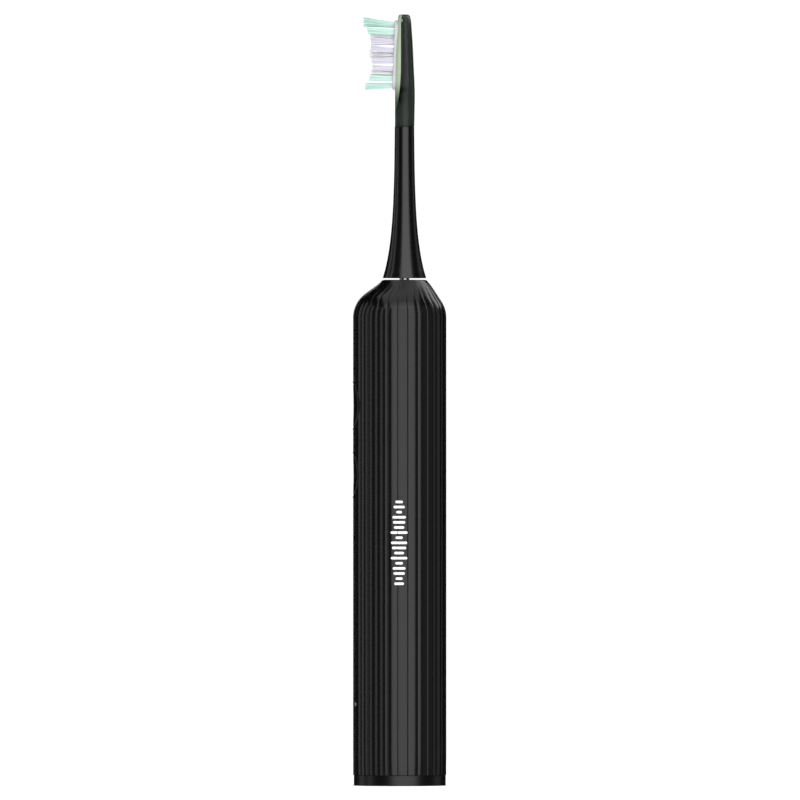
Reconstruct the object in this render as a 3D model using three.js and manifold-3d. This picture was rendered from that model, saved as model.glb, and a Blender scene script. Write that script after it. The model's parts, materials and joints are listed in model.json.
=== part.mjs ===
/*
 * Sonic toothbrush: a fluted handle that stands on its flat base, and a brush head that pulls up off its
 * drive shaft.
 *
 * Millimetres, +Z up. The origin is the centre of the base, on the surface that the handle stands on. -X is
 * the side that the bristles and the buttons face. The drive axis (motor, shaft and brush head) is parallel to
 * the handle's axis and lies a little behind it, to leave room for the buttons and the circuit board in front.
 */
import * as THREE from "three";
import { mergeVertices } from "three/addons/utils/BufferGeometryUtils.js";
import Module from "manifold-3d";

const wasm = await Module();
wasm.setup();

/* ------------------------------------------------------------------ driving dimensions */

// Clearances: between seated pieces, round a running shaft, and round a button in its window.
const seatGap = 0.12;
const runGap = 0.12;
const buttonGap = 0.25;

const handle = {
  crestRadius: 14,
  ribs: 27,
  grooveDepth: 0.25,
  wall: 1.75,
  shoulderZ: 139.8,
  shoulderHeight: 11.3,
  neckRadius: 6.6,
  neckFloor: 3.5,
};
const base = { height: 3, inset: 0.25, seam: 0.15, edge: 0.4, skirtHeight: 6, skirtWall: 2 };
const socket = { radius: 4.8, depth: 11, wall: 1.2, mouthChamfer: 0.5 };
const sealRing = { sectionRadius: 0.55, z: 6 };
const bobbin = { radius: 9.3, height: 7, flange: 0.7, wall: 0.6 };

const drive = { x: 1.4, shaftRadius: 1.5, flatDepth: 0.4, flatLength: 14, engagement: 20.3 };
const battery = { radius: 7.1, length: 65, pad: 2.5, tab: 0.3, tabWidth: 4 };
const board = { depth: 3.1, thickness: 1, halfWidth: 5.5, margin: 8.5, standoff: 0.3 };
const frame = { gap: 0.4, floor: 1.8, backX: 5, rail: 2.2, topWall: 2.2 };
const motor = { radius: 7.2, canWall: 0.7, length: 33, plate: 1.2, belowShoulder: 11.8, leadDrop: 3.76 };
const coil = { height: 9, gap: 2.5 };
const rotor = { hubRadius: 3.1, magnetRadius: 4.6, magnetLength: 14, magnetArc: 150, airGap: 0.35 };

const power = { z: 113.5, windowRadius: 6.78, name: "power" };
const mode = { z: 92.8, windowRadius: 6.3, name: "mode" };
const button = { proud: 0.1, thickness: 1.5, travel: 0.4, plungerRadius: 1.2 };
const tact = { side: 4.6, height: 1.5, stemRadius: 0.95, stemReach: 0.5 };
const membrane = { thickness: 0.6, halfWidth: 7.3, margin: 8.5 };
const light = { z: 24.35, radius: 0.65, spread: 3.9, count: 3, barHeight: 1.4, barThickness: 0.7, ledDepth: 0.7 };
const boot = { height: 4, waistDepth: 1.2 };
const screw = { headRadius: 1.6, headHeight: 1.1, shankRadius: 0.6, slot: 0.4 };
const wireRadius = 0.45;

const head = {
  gap: 0.6,
  baseRadius: 6.35,
  neckRadius: 2.84,
  flare: 11.8,
  sleeveHeight: 45.2,
  sleeveWall: 1,
  height: 33.5,
  tilt: THREE.MathUtils.degToRad(2.18),
  parting: -1.1,
  frontSquareness: 3.2,
  backSquareness: 0.8,
};
const plate = {
  x: -3.28,
  z: 21.4,
  halfLength: 10.4,
  halfWidth: 4.9,
  cornerRadius: 3.4,
  thickness: 1.3,
  ledge: 0.2,
};
const web = { thickness: 0.5, halfHeight: 0.4, room: 0.65 };
const tuft = { radius: 0.8, column: 2.3, holeGap: 0.08, sides: 6 };

// Tuft rows, from the tip of the head to its heel. v is the row's height on the plate, length is how far it stands
// out of the plate, slant leans its cut end, lean moves that end along the plate, and fan widens it.
const tuftBlocks = [
  { name: "green_tufts_tip", colour: "green", rows: [
    { v: 9, length: 9.4, across: 3, half: 0.98, slant: 0.05, lean: 0.7, fan: 1.4 },
    { v: 6.75, length: 8.1, across: 4, half: 0.95, slant: 0.35, lean: 0.25, fan: 1.06 }] },
  { name: "white_tufts_upper", colour: "white", rows: [
    { v: 5.35, length: 7.3, across: 3, half: 0.66, slant: 0.2, lean: 0.05, fan: 1.06 }] },
  { name: "lavender_tufts_upper", colour: "lavender", rows: [
    { v: 3.95, length: 6.95, across: 4, half: 0.92, slant: 0.05, lean: 0, fan: 1.06 },
    { v: 1.37, length: 6.85, across: 4, half: 0.82, slant: 0, lean: 0.1, fan: 1.06 }] },
  { name: "white_tufts_middle", colour: "white", rows: [
    { v: -0.08, length: 7.3, across: 3, half: 0.66, slant: 0, lean: 0, fan: 1.06 }] },
  { name: "lavender_tufts_lower", colour: "lavender", rows: [
    { v: -1.72, length: 6.45, across: 4, half: 0.88, slant: 0, lean: 0, fan: 1.06 },
    { v: -4.15, length: 6.2, across: 4, half: 0.88, slant: 0, lean: 0.1, fan: 1.06 }] },
  { name: "white_tufts_lower", colour: "white", rows: [
    { v: -5.58, length: 6.7, across: 3, half: 0.66, slant: -0.1, lean: 0, fan: 1.06 }] },
  { name: "green_tufts_heel", colour: "green", rows: [
    { v: -7.05, length: 6.9, across: 4, half: 0.82, slant: -0.2, lean: -0.05, fan: 1.06 },
    { v: -9.22, length: 8.1, across: 3, half: 0.75, slant: -0.05, lean: -0.4, fan: 1.3 }] },
];

/* ------------------------------------------------------------------ sizes that follow from them */

const topZ = handle.shoulderZ + handle.shoulderHeight;
const shellBottomZ = base.height + base.seam;
const innerRadius = handle.crestRadius - handle.grooveDepth - handle.wall;
const skirtRadius = innerRadius - 2 * seatGap - 0.06;
const bossRadius = socket.radius + socket.wall;
const bossTopZ = socket.depth + socket.wall;
const bobbinZ = base.height + 2 * seatGap;

const frameRadius = innerRadius - frame.gap;
const frameBottomZ = bossTopZ + frame.gap;
const floorZ = frameBottomZ + frame.floor;
const boardFrontX = -(innerRadius - board.depth);
const boardBackX = boardFrontX + board.thickness;
const frameFrontX = boardBackX + board.standoff;
const boardBottomZ = floorZ + frame.floor;
const boardTopZ = Math.max(power.z, mode.z) + board.margin;

const padZ = floorZ + seatGap;
const lowerTabZ = padZ + battery.pad + seatGap;
const batteryZ = lowerTabZ + battery.tab + seatGap;
const batteryTopZ = batteryZ + battery.length;
const upperTabZ = batteryTopZ + seatGap;

const motorFrontZ = handle.shoulderZ - motor.belowShoulder;
const motorRearZ = motorFrontZ - motor.length;
const frontPlateZ = motorFrontZ + seatGap;
const rearPlateZ = motorRearZ - motor.plate - seatGap;
const canInnerRadius = motor.radius - motor.canWall;
const frameTopZ = frontPlateZ + motor.plate + seatGap + frame.topWall;
const bearingRadius = rotor.hubRadius - 0.1;
const motorScrewY = 5;
const wireWindow = { bottom: batteryTopZ - 0.4, top: rearPlateZ - 2, halfWidth: 4.5 };

const headBaseZ = topZ + head.gap;
const sleeveTopZ = headBaseZ + head.sleeveHeight;
const shaftTopZ = headBaseZ + drive.engagement;
const shaftBottomZ = rearPlateZ - 1.2;
const insertTopZ = shaftTopZ - 2;
const sealBore = 4.7;
const buttonRadius = handle.crestRadius + button.proud;

/* ------------------------------------------------------------------ materials */

const paint = (color, roughness, metalness = 0, opacity = 1) =>
  new THREE.MeshStandardMaterial({ color, roughness, metalness, opacity, transparent: opacity < 1 });
const finish = {
  shell: paint(0x17181a, 0.42),
  cap: paint(0x121314, 0.35),
  button: paint(0x111213, 0.5),
  rubber: paint(0x1c1c1e, 0.8),
  sleeve: paint(0x131415, 0.28),
  smoke: paint(0x2c332d, 0.22, 0, 0.85),
  rim: paint(0xb4cda8, 0.3, 0, 0.8),
  plate: paint(0xdedce6, 0.4),
  green: paint(0xa4ecd4, 0.45),
  lavender: paint(0xdcd6ee, 0.45),
  white: paint(0xf2f2ee, 0.45),
  steel: paint(0xc9ccd0, 0.22, 1),
  can: paint(0x9aa0a6, 0.35, 1),
  nickel: paint(0xb9b4a6, 0.35, 1),
  magnet: paint(0x4c4f54, 0.4, 1),
  copper: paint(0xb8703a, 0.35, 1),
  board: paint(0x14532d, 0.5),
  chip: paint(0x1a1a1c, 0.5),
  frame: paint(0xd9d9d4, 0.5),
  cell: paint(0x2563a8, 0.4),
  foam: paint(0x3a3a3d, 0.95),
  clear: paint(0xe4e6e6, 0.15, 0, 0.6),
  redWire: paint(0xb3201e, 0.5),
  blackWire: paint(0x1b1b1b, 0.5),
};

/* ------------------------------------------------------------------ solids from three.js geometry */

// A three.js geometry as a closed solid, with shared corners merged and its faces pointing out.
function solid(geometry) {
  const loose = geometry.index ? geometry.toNonIndexed() : geometry;
  const bare = new THREE.BufferGeometry().setAttribute("position", loose.getAttribute("position"));
  const merged = mergeVertices(bare, 1e-4);
  const corners = merged.index.array;
  const kept = [];
  for (let i = 0; i < corners.length; i += 3) {
    const [a, b, c] = [corners[i], corners[i + 1], corners[i + 2]];
    if (a !== b && b !== c && c !== a) kept.push(a, b, c);
  }
  const vertProperties = merged.getAttribute("position").array;
  const build = (list) =>
    new wasm.Manifold(new wasm.Mesh({ numProp: 3, vertProperties, triVerts: new Uint32Array(list) }));
  const made = build(kept);
  return made.volume() > 0 ? made : build(kept.reverse());
}

// A closed profile of [radius, height] points turned round +Z.
function turned(points, segments = 24) {
  const profile = points.map(([radius, height]) => new THREE.Vector2(radius, height));
  return solid(new THREE.LatheGeometry(profile, segments).rotateX(Math.PI / 2));
}

// A ring or tube between two radii and two heights.
function ring(inner, outer, low, high, segments = 24) {
  return turned([[outer, low], [outer, high], [inner, high], [inner, low], [outer, low]], segments);
}

// A cylinder along +Z between two heights, with chamfered edges.
function rod(radius, low, high, chamfer = 0, segments = 24) {
  const c = chamfer;
  const side = c
    ? [[radius - c, low], [radius, low + c], [radius, high - c], [radius - c, high]]
    : [[radius, low], [radius, high]];
  return turned([[0, low], ...side, [0, high]], segments);
}

// A cylinder along +X between two x positions, centred on y and z.
function rodX(radius, from, to, y = 0, z = 0, segments = 24) {
  return rod(radius, from, to, 0, segments).rotate([0, 90, 0]).translate([0, y, z]);
}

// A box between two corners.
function block(low, high) {
  const size = high.map((value, axis) => value - low[axis]);
  const middle = high.map((value, axis) => (value + low[axis]) / 2);
  return solid(new THREE.BoxGeometry(...size)).translate(middle);
}

// A shape drawn with y across and z up, pushed along +X from one x position to another.
function slab(shape, from, to, curveSegments = 8) {
  const geometry = new THREE.ExtrudeGeometry(shape, { depth: to - from, bevelEnabled: false, curveSegments });
  const turn = new THREE.Matrix4().makeBasis(
    new THREE.Vector3(0, 1, 0),
    new THREE.Vector3(0, 0, 1),
    new THREE.Vector3(1, 0, 0),
  );
  return solid(geometry.applyMatrix4(turn)).translate([from, 0, 0]);
}

// A shape drawn with x across and z up, pushed along Y, centred on the XZ plane.
function profileXZ(shape, width, curveSegments = 12) {
  const geometry = new THREE.ExtrudeGeometry(shape, { depth: width, bevelEnabled: false, curveSegments });
  return solid(geometry.translate(0, 0, -width / 2).rotateX(Math.PI / 2));
}

// A closed skin through rings that have the same number of points, with a flat end at each side.
function lofted(rings) {
  const count = rings[0].length;
  const middle = (points) =>
    points.reduce((sum, p) => sum.add(p), new THREE.Vector3()).divideScalar(points.length);
  const points = [...rings.flat(), middle(rings[0]), middle(rings.at(-1))];
  const bottomCentre = rings.length * count;
  const lastRing = (rings.length - 1) * count;
  const index = [];
  for (let i = 0; i < count; i++) {
    const j = (i + 1) % count;
    for (let low = 0; low < lastRing; low += count)
      index.push(low + i, low + j, low + count + j, low + i, low + count + j, low + count + i);
    index.push(bottomCentre, j, i, bottomCentre + 1, lastRing + i, lastRing + j);
  }
  const geometry = new THREE.BufferGeometry().setFromPoints(points);
  geometry.setIndex(index);
  return solid(geometry);
}

// A round wire along a smooth curve through points.
function wire(points, steps = 12) {
  const section = new THREE.Shape().absarc(0, 0, wireRadius, 0, 2 * Math.PI);
  const extrudePath = new THREE.CatmullRomCurve3(points.map((p) => new THREE.Vector3(...p)));
  return solid(new THREE.ExtrudeGeometry(section, { steps, curveSegments: 3, extrudePath, bevelEnabled: false }));
}

function mesh(name, body, material) {
  const found = body.getMesh();
  const geometry = new THREE.BufferGeometry();
  geometry.setAttribute("position", new THREE.BufferAttribute(found.vertProperties, 3));
  geometry.setIndex(new THREE.BufferAttribute(found.triVerts, 1));
  geometry.computeVertexNormals();
  const made = new THREE.Mesh(geometry, material);
  made.name = name;
  return made;
}

/* ------------------------------------------------------------------ handle shell and base */

// The shoulder in side view, from the fluted barrel up to the neck: radius across, height up.
const shoulder = new THREE.CubicBezierCurve(
  new THREE.Vector2(handle.crestRadius, 0),
  new THREE.Vector2(handle.crestRadius, 0.49 * handle.shoulderHeight),
  new THREE.Vector2(handle.neckRadius + 2.6, 0.73 * handle.shoulderHeight),
  new THREE.Vector2(handle.neckRadius, handle.shoulderHeight),
);

// How far the skin lies inside the crest circle at an angle from the front: round ribs, narrow grooves.
function ribInset(angle) {
  const place = (angle * handle.ribs) / (2 * Math.PI);
  const fromCrest = 2 * Math.abs(place - Math.round(place));
  return handle.grooveDepth * (0.45 * fromCrest ** 2 + 0.55 * fromCrest ** 12);
}

// A barrel and shoulder, narrower than the handle's skin by an inset. Ribs fade out as the shoulder leans over.
function barrel(bottomZ, inset, segments, ribbed) {
  const steps = 6;
  const stations = [{ radius: handle.crestRadius - inset, z: bottomZ, lean: 0 }];
  for (let i = 0; i <= steps; i++) {
    const t = i / steps;
    const at = shoulder.getPoint(t);
    const along = shoulder.getTangent(t);
    const radius = Math.max(at.x - inset * along.y, sealBore + 1.6);
    const lean = (handle.crestRadius - at.x) / (handle.crestRadius - handle.neckRadius);
    stations.push({ radius, z: handle.shoulderZ + at.y + inset * along.x, lean });
  }
  return lofted(
    stations.map(({ radius, z, lean }) => {
      const shift = drive.x * lean * lean * (3 - 2 * lean);
      const depth = ribbed ? Math.max(0, 1 - 1.4 * lean) : 0;
      return Array.from({ length: segments }, (_, i) => {
        const angle = (2 * Math.PI * i) / segments;
        const reach = radius - depth * ribInset(angle);
        return new THREE.Vector3(shift - reach * Math.cos(angle), -reach * Math.sin(angle), z);
      });
    }),
  );
}

function handleShell() {
  const pointsPerRib = 4;
  const skin = barrel(shellBottomZ, 0, handle.ribs * pointsPerRib, true);
  const ceilingZ = topZ - handle.neckFloor;
  const cavity = barrel(shellBottomZ - 1, handle.crestRadius - innerRadius, 32, false);
  const room = cavity.intersect(block([-50, -50, -1], [50, 50, ceilingZ]));
  const bore = rod(sealBore, ceilingZ - 1, topZ + 1).translate([drive.x, 0, 0]);
  const windows = [power, mode].map((b) => rodX(b.windowRadius, -20, 0, 0, b.z, 28));
  const lights = lightPlaces().map((y) => rodX(light.radius + seatGap, -20, 0, y, light.z, 12));
  return [room, bore, ...windows, ...lights].reduce((body, cutter) => body.subtract(cutter), skin);
}

function lightPlaces() {
  return Array.from({ length: light.count }, (_, i) => (i - (light.count - 1) / 2) * light.spread);
}

function baseCap() {
  const radius = handle.crestRadius - base.inset;
  const top = base.height;
  const skirtTop = top + base.skirtHeight;
  const grooveHalf = sealRing.sectionRadius + seatGap;
  const grooveRadius = sealRingRadius() - sealRing.sectionRadius - seatGap;
  const c = base.edge;
  return turned(
    [
      [0, socket.depth],
      [socket.radius, socket.depth],
      [socket.radius, socket.mouthChamfer],
      [socket.radius + socket.mouthChamfer, 0],
      [radius - c, 0],
      [radius, c],
      [radius, top],
      [skirtRadius, top],
      [skirtRadius, sealRing.z - grooveHalf],
      [grooveRadius, sealRing.z - grooveHalf],
      [grooveRadius, sealRing.z + grooveHalf],
      [skirtRadius, sealRing.z + grooveHalf],
      [skirtRadius, skirtTop - c],
      [skirtRadius - c, skirtTop],
      [skirtRadius - base.skirtWall, skirtTop],
      [skirtRadius - base.skirtWall, top],
      [bossRadius, top],
      [bossRadius, bossTopZ],
      [0, bossTopZ],
    ],
  );
}

function sealRingRadius() {
  return innerRadius - seatGap - sealRing.sectionRadius;
}

function baseSealRing() {
  const sides = 6;
  const section = Array.from({ length: sides + 1 }, (_, i) => {
    const angle = (2 * Math.PI * (i % sides)) / sides;
    const out = sealRing.sectionRadius;
    return [sealRingRadius() + out * Math.cos(angle), sealRing.z + out * Math.sin(angle)];
  });
  return turned(section);
}

function coilBobbin() {
  const inner = bossRadius + seatGap;
  const outer = inner + bobbin.wall;
  const top = bobbinZ + bobbin.height;
  return turned(
    [
      [inner, bobbinZ],
      [bobbin.radius, bobbinZ],
      [bobbin.radius, bobbinZ + bobbin.flange],
      [outer, bobbinZ + bobbin.flange],
      [outer, top - bobbin.flange],
      [bobbin.radius, top - bobbin.flange],
      [bobbin.radius, top],
      [inner, top],
      [inner, bobbinZ],
    ],
  );
}

function chargingCoil() {
  const inner = bossRadius + seatGap + bobbin.wall + seatGap;
  const low = bobbinZ + bobbin.flange + seatGap;
  const high = bobbinZ + bobbin.height - bobbin.flange - seatGap;
  return ring(inner, bobbin.radius - 2 * seatGap, low, high);
}

function coilLead(side) {
  const y = side * 2.6;
  const start = bobbinZ + bobbin.height + seatGap;
  const x = boardFrontX + board.thickness / 2;
  const outX = -(bossRadius + bobbin.radius) / 2 - 0.4;
  const bendZ = frameBottomZ - wireRadius - 2 * seatGap;
  const end = boardBottomZ - seatGap;
  return wire([[outX, y, start], [outX, y, start + seatGap], [x, y, bendZ], [x, y, end]]);
}

/* ------------------------------------------------------------------ frame, battery and circuit board */

function innerFrame() {
  const halfWidth = battery.radius + frame.rail;
  const across = [
    block([frameFrontX, -halfWidth, frameBottomZ], [frame.backX, halfWidth, frameTopZ]),
    block([-50, -50, floorZ], [50, 50, frameTopZ - frame.topWall]),
  ];
  const rails = rod(frameRadius, frameBottomZ, frameTopZ).intersect(across[0]);
  const bay = (radius, low, high) =>
    rod(radius, low, high)
      .translate([drive.x, 0, 0])
      .add(block([drive.x, -radius * 0.86, low], [20, radius * 0.86, high]));
  const wallZ = upperTabZ + battery.tab + 3.2;
  const cutters = [
    bay(battery.radius + 2 * seatGap, floorZ, wallZ - frame.floor),
    bay(motor.radius + 2 * seatGap, wallZ, frameTopZ - frame.topWall),
    rod(bearingRadius + 0.5, frameTopZ - 5, frameTopZ + 1).translate([drive.x, 0, 0]),
    wireOpening(),
    block([-20, -battery.tabWidth / 2 - 0.5, padZ], [-4.4, battery.tabWidth / 2 + 0.5, batteryZ + 1]),
    ...boardScrewHeights().map((z) => rodX(screw.shankRadius + seatGap, -20, -4, 0, z, 12)),
    ...[-1, 1].map((side) =>
      rod(screw.shankRadius + 2 * seatGap, frameTopZ - 5, frameTopZ + 1, 0, 12)
        .translate([drive.x, side * motorScrewY, 0])),
    ...railWindows(),
  ];
  return cutters.reduce((body, cutter) => body.subtract(cutter), rails);
}

// The window that the battery's and the motor's wires pass through. Material stays round each board screw.
function wireOpening() {
  const { bottom, top, halfWidth } = wireWindow;
  const bridges = boardScrewHeights().map((z) =>
    block([-21, -halfWidth - 1, z - screw.headRadius], [0, halfWidth + 1, z + screw.headRadius]));
  return bridges.reduce(
    (opening, bridge) => opening.subtract(bridge),
    block([-20, -halfWidth, bottom], [-4.4, halfWidth, top]),
  );
}

// Windows through both side rails, which lighten the frame beside the battery.
function railWindows() {
  const count = 4;
  const step = battery.length / count;
  return Array.from({ length: count }, (_, i) => {
    const middle = batteryZ + (i + 0.5) * step;
    return block([-3, -50, middle - step * 0.32], [2.6, 50, middle + step * 0.32]);
  });
}

function boardScrewHeights() {
  return [boardBottomZ + 16, (power.z + mode.z) / 2];
}

function circuitBoard() {
  const low = [boardFrontX, -board.halfWidth, boardBottomZ];
  const high = [boardBackX, board.halfWidth, boardTopZ];
  const notch = 1.2;
  const corners = [-1, 1].map((side) => {
    const inside = side * (board.halfWidth - notch);
    const outside = side * (board.halfWidth + 1);
    return block(
      [boardFrontX - 1, Math.min(inside, outside), boardTopZ - notch],
      [boardBackX + 1, Math.max(inside, outside), boardTopZ + 1],
    );
  });
  const holes = boardScrewHeights().map((z) => rodX(screw.shankRadius + 2 * seatGap, -20, 0, 0, z, 12));
  return [...corners, ...holes].reduce((body, cutter) => body.subtract(cutter), block(low, high));
}

// A pan-head screw along +Z: its head stands above height 0, and its shank goes down from there.
function panScrew(shankLength) {
  const { headRadius, headHeight, shankRadius, slot } = screw;
  const body = turned(
    [
      [0, -shankLength],
      [shankRadius * 0.5, -shankLength],
      [shankRadius, -shankLength + shankRadius],
      [shankRadius, 0],
      [headRadius, 0],
      [headRadius, headHeight * 0.55],
      [headRadius * 0.7, headHeight],
      [0, headHeight],
    ],
    12,
  );
  const reach = headRadius * 0.6;
  const arm = block([-reach, -slot / 2, headHeight * 0.45], [reach, slot / 2, headHeight + 1]);
  return body.subtract(arm).subtract(arm.rotate([0, 0, 90]));
}

function chip(side, height) {
  const x = boardFrontX - seatGap / 2;
  return block([x - height, -side / 2, -side / 2], [x, side / 2, side / 2]);
}

function batteryCell() {
  const nippleRadius = 2.6;
  const shrink = 0.5;
  const { radius, length } = battery;
  return turned(
    [
      [0, 0],
      [radius - shrink, 0],
      [radius, shrink],
      [radius, length - 1 - shrink],
      [radius - shrink, length - 1],
      [nippleRadius, length - 1],
      [nippleRadius, length],
      [0, length],
    ],
  );
}

// A nickel strip that runs from the middle of a battery end out to the board's back.
function batteryTab() {
  const low = [boardBackX + seatGap, -battery.tabWidth / 2, 0];
  return block(low, [drive.x + 2.2, battery.tabWidth / 2, battery.tab]);
}

/* ------------------------------------------------------------------ buttons and indicator */

// A button cap: a round piece of a tube that follows the handle, in the button's own frame at its height.
function buttonCap({ windowRadius }) {
  const radius = windowRadius - buttonGap;
  const skin = ring(buttonRadius - button.thickness, buttonRadius, -20, 20, 96);
  const soft = 0.35;
  const outer = -(buttonRadius + 1);
  const edge = -Math.sqrt(buttonRadius ** 2 - radius ** 2);
  const disc = turned([[0, outer], [radius - soft, outer], [radius - soft, edge - soft * 1.6],
    [radius, edge + soft * 0.4], [radius, -5], [0, -5]], 32).rotate([0, 90, 0]);
  return skin.intersect(disc);
}

// The pusher behind a button, which ends in the bore of its switch.
function buttonPlunger() {
  const capInnerX = -(buttonRadius - button.thickness);
  const switchX = boardFrontX - seatGap / 2 - tact.height;
  const shoulderX = switchX - button.travel - 0.25;
  return turned(
    [
      [0, capInnerX + 0.15],
      [button.plungerRadius, capInnerX + 0.15],
      [button.plungerRadius, shoulderX],
      [tact.stemRadius, shoulderX],
      [tact.stemRadius, switchX + tact.stemReach],
      [0, switchX + tact.stemReach],
    ],
    20,
  ).rotate([0, 90, 0]);
}

function tactSwitch() {
  const x = boardFrontX - seatGap / 2;
  const half = tact.side / 2;
  const body = block([x - tact.height, -half, -half], [x, half, half]);
  const bore = rodX(tact.stemRadius + 0.2, x - 5, x - 0.3, 0, 0, 20);
  const corner = block([x - 5, half - 0.5, half - 0.5], [x - tact.height + 0.3, half + 1, half + 1]);
  const corners = [0, 90, 180, 270].map((turn) => corner.rotate([turn, 0, 0]));
  return [bore, ...corners].reduce((made, cutter) => made.subtract(cutter), body);
}

function buttonMembrane() {
  const outer = innerRadius - seatGap;
  const low = mode.z - membrane.margin;
  const high = power.z + membrane.margin;
  const sheet = ring(outer - membrane.thickness, outer, low, high, 96).intersect(
    block([-50, -membrane.halfWidth, low], [0, membrane.halfWidth, high]),
  );
  const holes = [power, mode].map((b) => rodX(button.plungerRadius + buttonGap, -20, 0, 0, b.z, 20));
  return holes.reduce((body, hole) => body.subtract(hole), sheet);
}

// A clear bar behind the shell with a short pin up through each indicator hole.
function lightGuide() {
  const halfBar = light.spread * (light.count - 1) / 2 + light.radius + 0.4;
  const barX = boardFrontX - light.ledDepth - 2 * seatGap;
  const half = light.barHeight / 2;
  const bar = block([barX - light.barThickness, -halfBar, -half], [barX, halfBar, half]);
  const pins = lightPlaces().map((y) => rodX(light.radius, -20, barX - 0.2, y, 0, 12));
  const flush = rod(handle.crestRadius - 0.08, -5, 5, 0, 144);
  return pins.reduce((body, pin) => body.add(pin), bar).intersect(flush);
}

function ledBar() {
  const x = boardFrontX - seatGap / 2;
  const halfBar = light.spread * (light.count - 1) / 2 + 0.9;
  return block([x - light.ledDepth, -halfBar, -0.6], [x, halfBar, 0.6]);
}

/* ------------------------------------------------------------------ motor and shaft, round the drive axis */

function stator() {
  const inner = rotor.magnetRadius + rotor.airGap;
  const outer = canInnerRadius - seatGap;
  const low = coilTopZ() + 1.5;
  const core = ring(inner, outer, low, motorFrontZ - 3.5);
  const slot = block([-(inner + 0.75), -1.1, low - 1], [inner + 0.75, 1.1, motorFrontZ]);
  return [45, 135].reduce((body, turn) => body.subtract(slot.rotate([0, 0, turn])), core);
}

function coilTopZ() {
  return motorRearZ + coil.gap + coil.height;
}

function motorCoil() {
  return ring(rotor.hubRadius, canInnerRadius - seatGap, motorRearZ + coil.gap, coilTopZ());
}

function rotorMagnet() {
  const half = THREE.MathUtils.degToRad(rotor.magnetArc / 2);
  const shape = new THREE.Shape();
  shape.absarc(0, 0, rotor.magnetRadius, -half, half, false);
  shape.absarc(0, 0, rotor.hubRadius + seatGap, half, -half, true);
  return solid(new THREE.ExtrudeGeometry(shape, {
    depth: rotor.magnetLength,
    bevelEnabled: false,
    curveSegments: 10,
  }));
}

// The steel shaft. A flat near its top keys the brush head; extra grows it into the bore that takes it.
function shaftSolid(extra = 0) {
  const radius = drive.shaftRadius + extra;
  const top = shaftTopZ + extra;
  const tip = 0.35;
  const body = turned(
    [[0, shaftBottomZ], [radius - tip, shaftBottomZ], [radius, shaftBottomZ + tip], [radius, top - tip],
      [radius - tip, top], [0, top]],
  );
  const flatX = -(radius - drive.flatDepth);
  return body.subtract(block([-9, -9, shaftTopZ - drive.flatLength + extra], [flatX, 9, top + 1]));
}

function shaftSeal() {
  const flangeZ = topZ - handle.neckFloor - 2 * seatGap;
  const inner = drive.shaftRadius + runGap;
  const outer = sealBore - seatGap;
  const top = topZ - 0.4;
  return turned(
    [
      [inner, flangeZ - 0.8],
      [outer + 1.2, flangeZ - 0.8],
      [outer + 1.2, flangeZ],
      [outer, flangeZ],
      [outer, top - 0.25],
      [outer - 0.25, top],
      [outer - 1.1, top],
      [outer - 1.5, top - 0.5],
      [inner + 0.7, top - 0.5],
      [inner + 0.35, top - 0.1],
      [inner, top - 0.1],
      [inner, flangeZ - 0.8],
    ],
  );
}

function mountBoot() {
  const low = frameTopZ + screw.headHeight + 0.9;
  const disc = rod(innerRadius - 2 * seatGap, low, low + boot.height, 0, 32);
  const waist = ring(innerRadius - boot.waistDepth, innerRadius + 1, low + 1.2, low + boot.height - 1.2, 32);
  return disc.subtract(waist).subtract(rod(drive.shaftRadius + 0.6, 0, 200).translate([drive.x, 0, 0]));
}

/* ------------------------------------------------------------------ brush head, round the drive axis */

// The sleeve's outside: a wide foot that flares out below a slim neck.
function sleeveRadius(height) {
  return head.neckRadius + (head.baseRadius - head.neckRadius) * Math.exp(-height / head.flare);
}

function sleeveStations(count, inset, from, to) {
  return Array.from({ length: count + 1 }, (_, i) => {
    const height = from + ((to - from) * i) / count;
    return [sleeveRadius(height) - inset, headBaseZ + height];
  });
}

function neckSleeve() {
  const outside = sleeveStations(10, 0, 0, head.sleeveHeight);
  const inside = sleeveStations(6, head.sleeveWall, 0, head.sleeveHeight).reverse();
  return turned([...outside, ...inside, outside[0]]);
}

function couplingInsert() {
  const inset = head.sleeveWall + seatGap;
  const outside = sleeveStations(6, inset, 0.5, insertTopZ - headBaseZ);
  const body = turned([[0, outside[0][1]], ...outside, [0, insertTopZ]]);
  const pocket = block([-2.3, -1.05, insertTopZ - 11], [0, 1.05, insertTopZ + 1]);
  return body.subtract(shaftSolid(runGap)).subtract(pocket);
}

// A leaf spring that presses on the shaft's flat: a thin strip with a shallow bow.
function shaftClip() {
  const outX = -2.2;
  const gripX = -(drive.shaftRadius - drive.flatDepth) - 0.2;
  const low = insertTopZ - 10.6;
  const high = insertTopZ - 0.6;
  const mid = (low + high) / 2;
  const thickness = 0.3;
  const shape = new THREE.Shape();
  shape.moveTo(outX, low);
  shape.quadraticCurveTo(2 * gripX - outX - 2 * thickness, mid, outX, high);
  shape.lineTo(outX + thickness, high);
  shape.quadraticCurveTo(2 * gripX - outX - thickness, mid, outX + thickness, low);
  return profileXZ(shape, 1.7, 8);
}

// Sections of the head above the sleeve: height, half width, then the front and the back from the drive axis.
const headSections = [
  [0, 2.9, -2.88, 2.95],
  [5, 3.05, -2.86, 3.05],
  [9.5, 4.3, -2.83, 3.1],
  [13.5, 5.5, -2.68, 3],
  [18, 5.85, -2.5, 2.75],
  [24, 5.85, -2.28, 2.47],
  [28.6, 5.5, -2.1, 2.16],
  [31.4, 4.6, -1.98, 1.84],
  [33, 3.1, -1.8, 1.4],
  [head.height, 1.9, -1.5, 0.9],
];

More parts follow.
